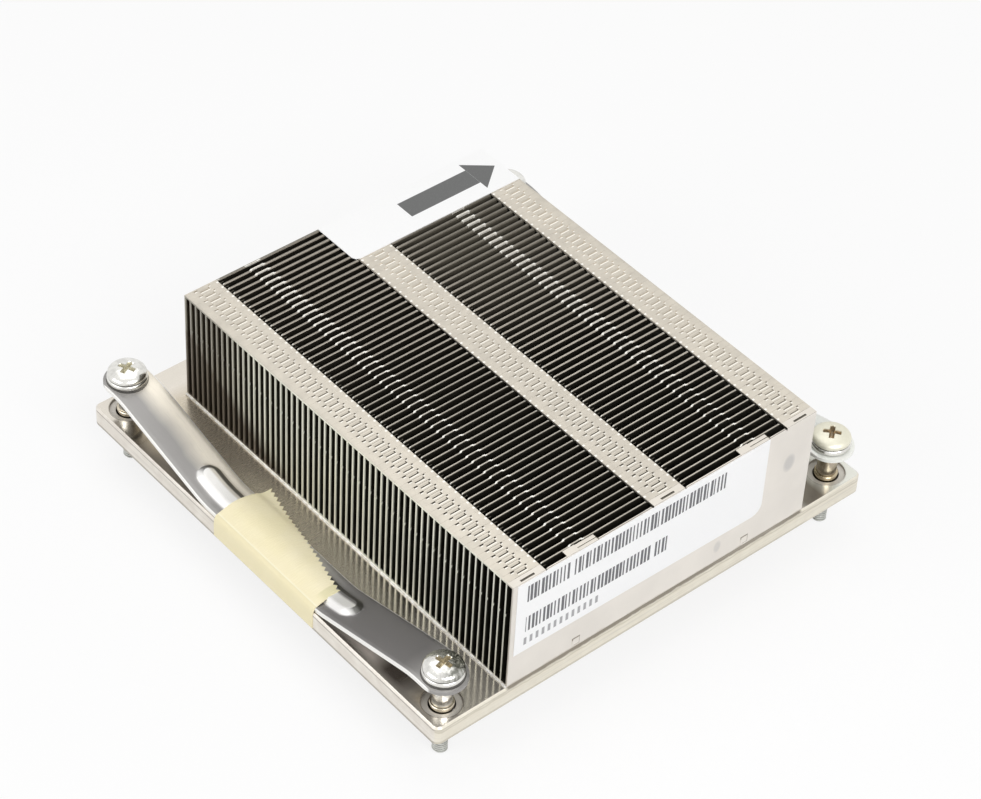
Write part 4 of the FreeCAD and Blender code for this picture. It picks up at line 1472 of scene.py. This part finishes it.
class HEATSINK_OT_stage(bpy.types.Operator):
    """Set the floor, the lamps, the room and the camera"""

    bl_idname = "heatsink.stage"
    bl_label = "Studio"

    def lamp(self, name, place, wide, watts):
        data = bpy.data.lights.new(name, "AREA")
        data.shape = "RECTANGLE"
        data.size, data.size_y = wide
        data.energy = watts
        made = bpy.data.objects.new(name, data)
        made.location = place
        made.rotation_euler = (-Vector(place)).to_track_quat("-Z", "Y").to_euler()
        bpy.context.scene.collection.objects.link(made)

    def seen(self, net):
        """One for rays from the camera, from gloss and through glass."""
        path = net.node("ShaderNodeLightPath").outputs
        rays = [Value(net, path["Is %s Ray" % k]) for k in ("Camera", "Glossy", "Transmission")]
        return rays[0].most(rays[1]).most(rays[2])

    def floor(self, half):
        """Round card under the screw tips that glows a little where it is seen."""
        f = Finish("floor_card")
        glow = f.node("ShaderNodeEmission", {"Color": (1.0, 1.0, 1.0, 1.0), "Strength": 1.0})
        f.set(
            Base_Color=f.mix(f.noise(0.02), (0.90, 0.90, 0.90), (0.93, 0.93, 0.93)),
            Roughness=0.9,
            Specular_IOR_Level=0.0,
        )
        sockets = {0: self.seen(f) * 0.8, 1: f.shader.outputs[0], 2: glow.outputs[0]}
        f.feed(f.end.inputs[0], f.node("ShaderNodeMixShader", sockets).outputs[0])
        top, thick = CAD_LOW.z / MM - 0.02, 4.0
        flat, faces = plan([circle(half)], [], [(0.0, 0.0)])

        def place(x, y, upper):
            return x, y, top - thick * (1 - upper)

        solid("floor", *sheet_skin(flat, faces, place), [f.material])

    def room(self, strength):
        """Even light from all round, with a white background where it is seen."""
        world = bpy.data.worlds.new("studio")
        world.use_nodes = True
        net = Net(world.node_tree)
        net.tree.nodes.clear()
        sockets = {0: self.seen(net)}
        for slot, glow in ((1, strength), (2, 1.0)):
            light = {"Color": (1.0, 1.0, 1.0, 1.0), "Strength": glow}
            sockets[slot] = net.node("ShaderNodeBackground", light).outputs[0]
        mixed = net.node("ShaderNodeMixShader", sockets)
        net.node("ShaderNodeOutputWorld", {0: mixed.outputs[0]})
        return world

    def camera(self, place, lens):
        """Camera with the place, the turn and the lens that were fitted to the photograph."""
        made = bpy.data.objects.new("camera", bpy.data.cameras.new("camera"))
        made.data.sensor_fit = "HORIZONTAL"
        made.data.sensor_width = 36.0
        made.data.lens = lens
        made.data.clip_start, made.data.clip_end = 0.02, 10.0
        right = Vector((0.764747, -0.642849, 0.043680))
        up = Vector((0.416029, 0.544408, 0.728382))
        back = Vector((-0.492019, -0.538855, 0.683778))
        turn = Matrix((right, up, back)).transposed().to_4x4()
        made.matrix_world = Matrix.Translation(Vector(place)) @ turn
        return made

    def execute(self, context):
        scene, stage = context.scene, context.scene.heatsink_stage
        self.floor(stage.floor / MM)
        scene.world = self.room(stage.air)
        self.lamp("key", (-0.10, -0.55, 0.55), (0.5, 0.4), stage.key)
        self.lamp("fill", (-0.62, 0.10, 0.35), (0.5, 0.4), stage.fill)
        self.lamp("top", (0.15, 0.25, 0.75), (0.6, 0.6), stage.top)
        scene.camera = self.camera(stage.eye, stage.lens)
        scene.collection.objects.link(scene.camera)
        scene.view_settings.view_transform = "Standard"
        return {"FINISHED"}


class HEATSINK_PT_panel(bpy.types.Panel):
    """Lists the pieces of the heatsink"""

    bl_label = "Heatsink"
    bl_space_type = "VIEW_3D"
    bl_region_type = "UI"
    bl_category = "Heatsink"

    def draw(self, context):
        for operator in OPERATORS:
            self.layout.operator(operator.bl_idname)
        for name in GROUPS:
            group = getattr(context.scene, name)
            box = self.layout.box()
            for key in group.__annotations__:
                box.prop(group, key)


GROUPS = {
    "heatsink_fins": HEATSINK_PG_fins,
    "heatsink_springs": HEATSINK_PG_springs,
    "heatsink_screws": HEATSINK_PG_screws,
    "heatsink_papers": HEATSINK_PG_papers,
    "heatsink_colours": HEATSINK_PG_colours,
    "heatsink_stage": HEATSINK_PG_stage,
}
OPERATORS = [
    HEATSINK_OT_fins,
    HEATSINK_OT_plate,
    HEATSINK_OT_springs,
    HEATSINK_OT_screws,
    HEATSINK_OT_papers,
    HEATSINK_OT_tape,
    HEATSINK_OT_stage,
]


def register():
    for kind in [*GROUPS.values(), *OPERATORS, HEATSINK_PT_panel]:
        bpy.utils.register_class(kind)
    for name, kind in GROUPS.items():
        setattr(bpy.types.Scene, name, bpy.props.PointerProperty(type=kind))


def unregister():
    for name in GROUPS:
        delattr(bpy.types.Scene, name)
    for kind in reversed([*GROUPS.values(), *OPERATORS, HEATSINK_PT_panel]):
        bpy.utils.unregister_class(kind)


def main():
    register()
    bpy.ops.heatsink.fins()
    bpy.ops.heatsink.plate()
    bpy.ops.heatsink.springs()
    bpy.ops.heatsink.screws()
    bpy.ops.heatsink.papers()
    bpy.ops.heatsink.tape()
    bpy.ops.heatsink.stage()


if __name__ == "__main__":
    main()
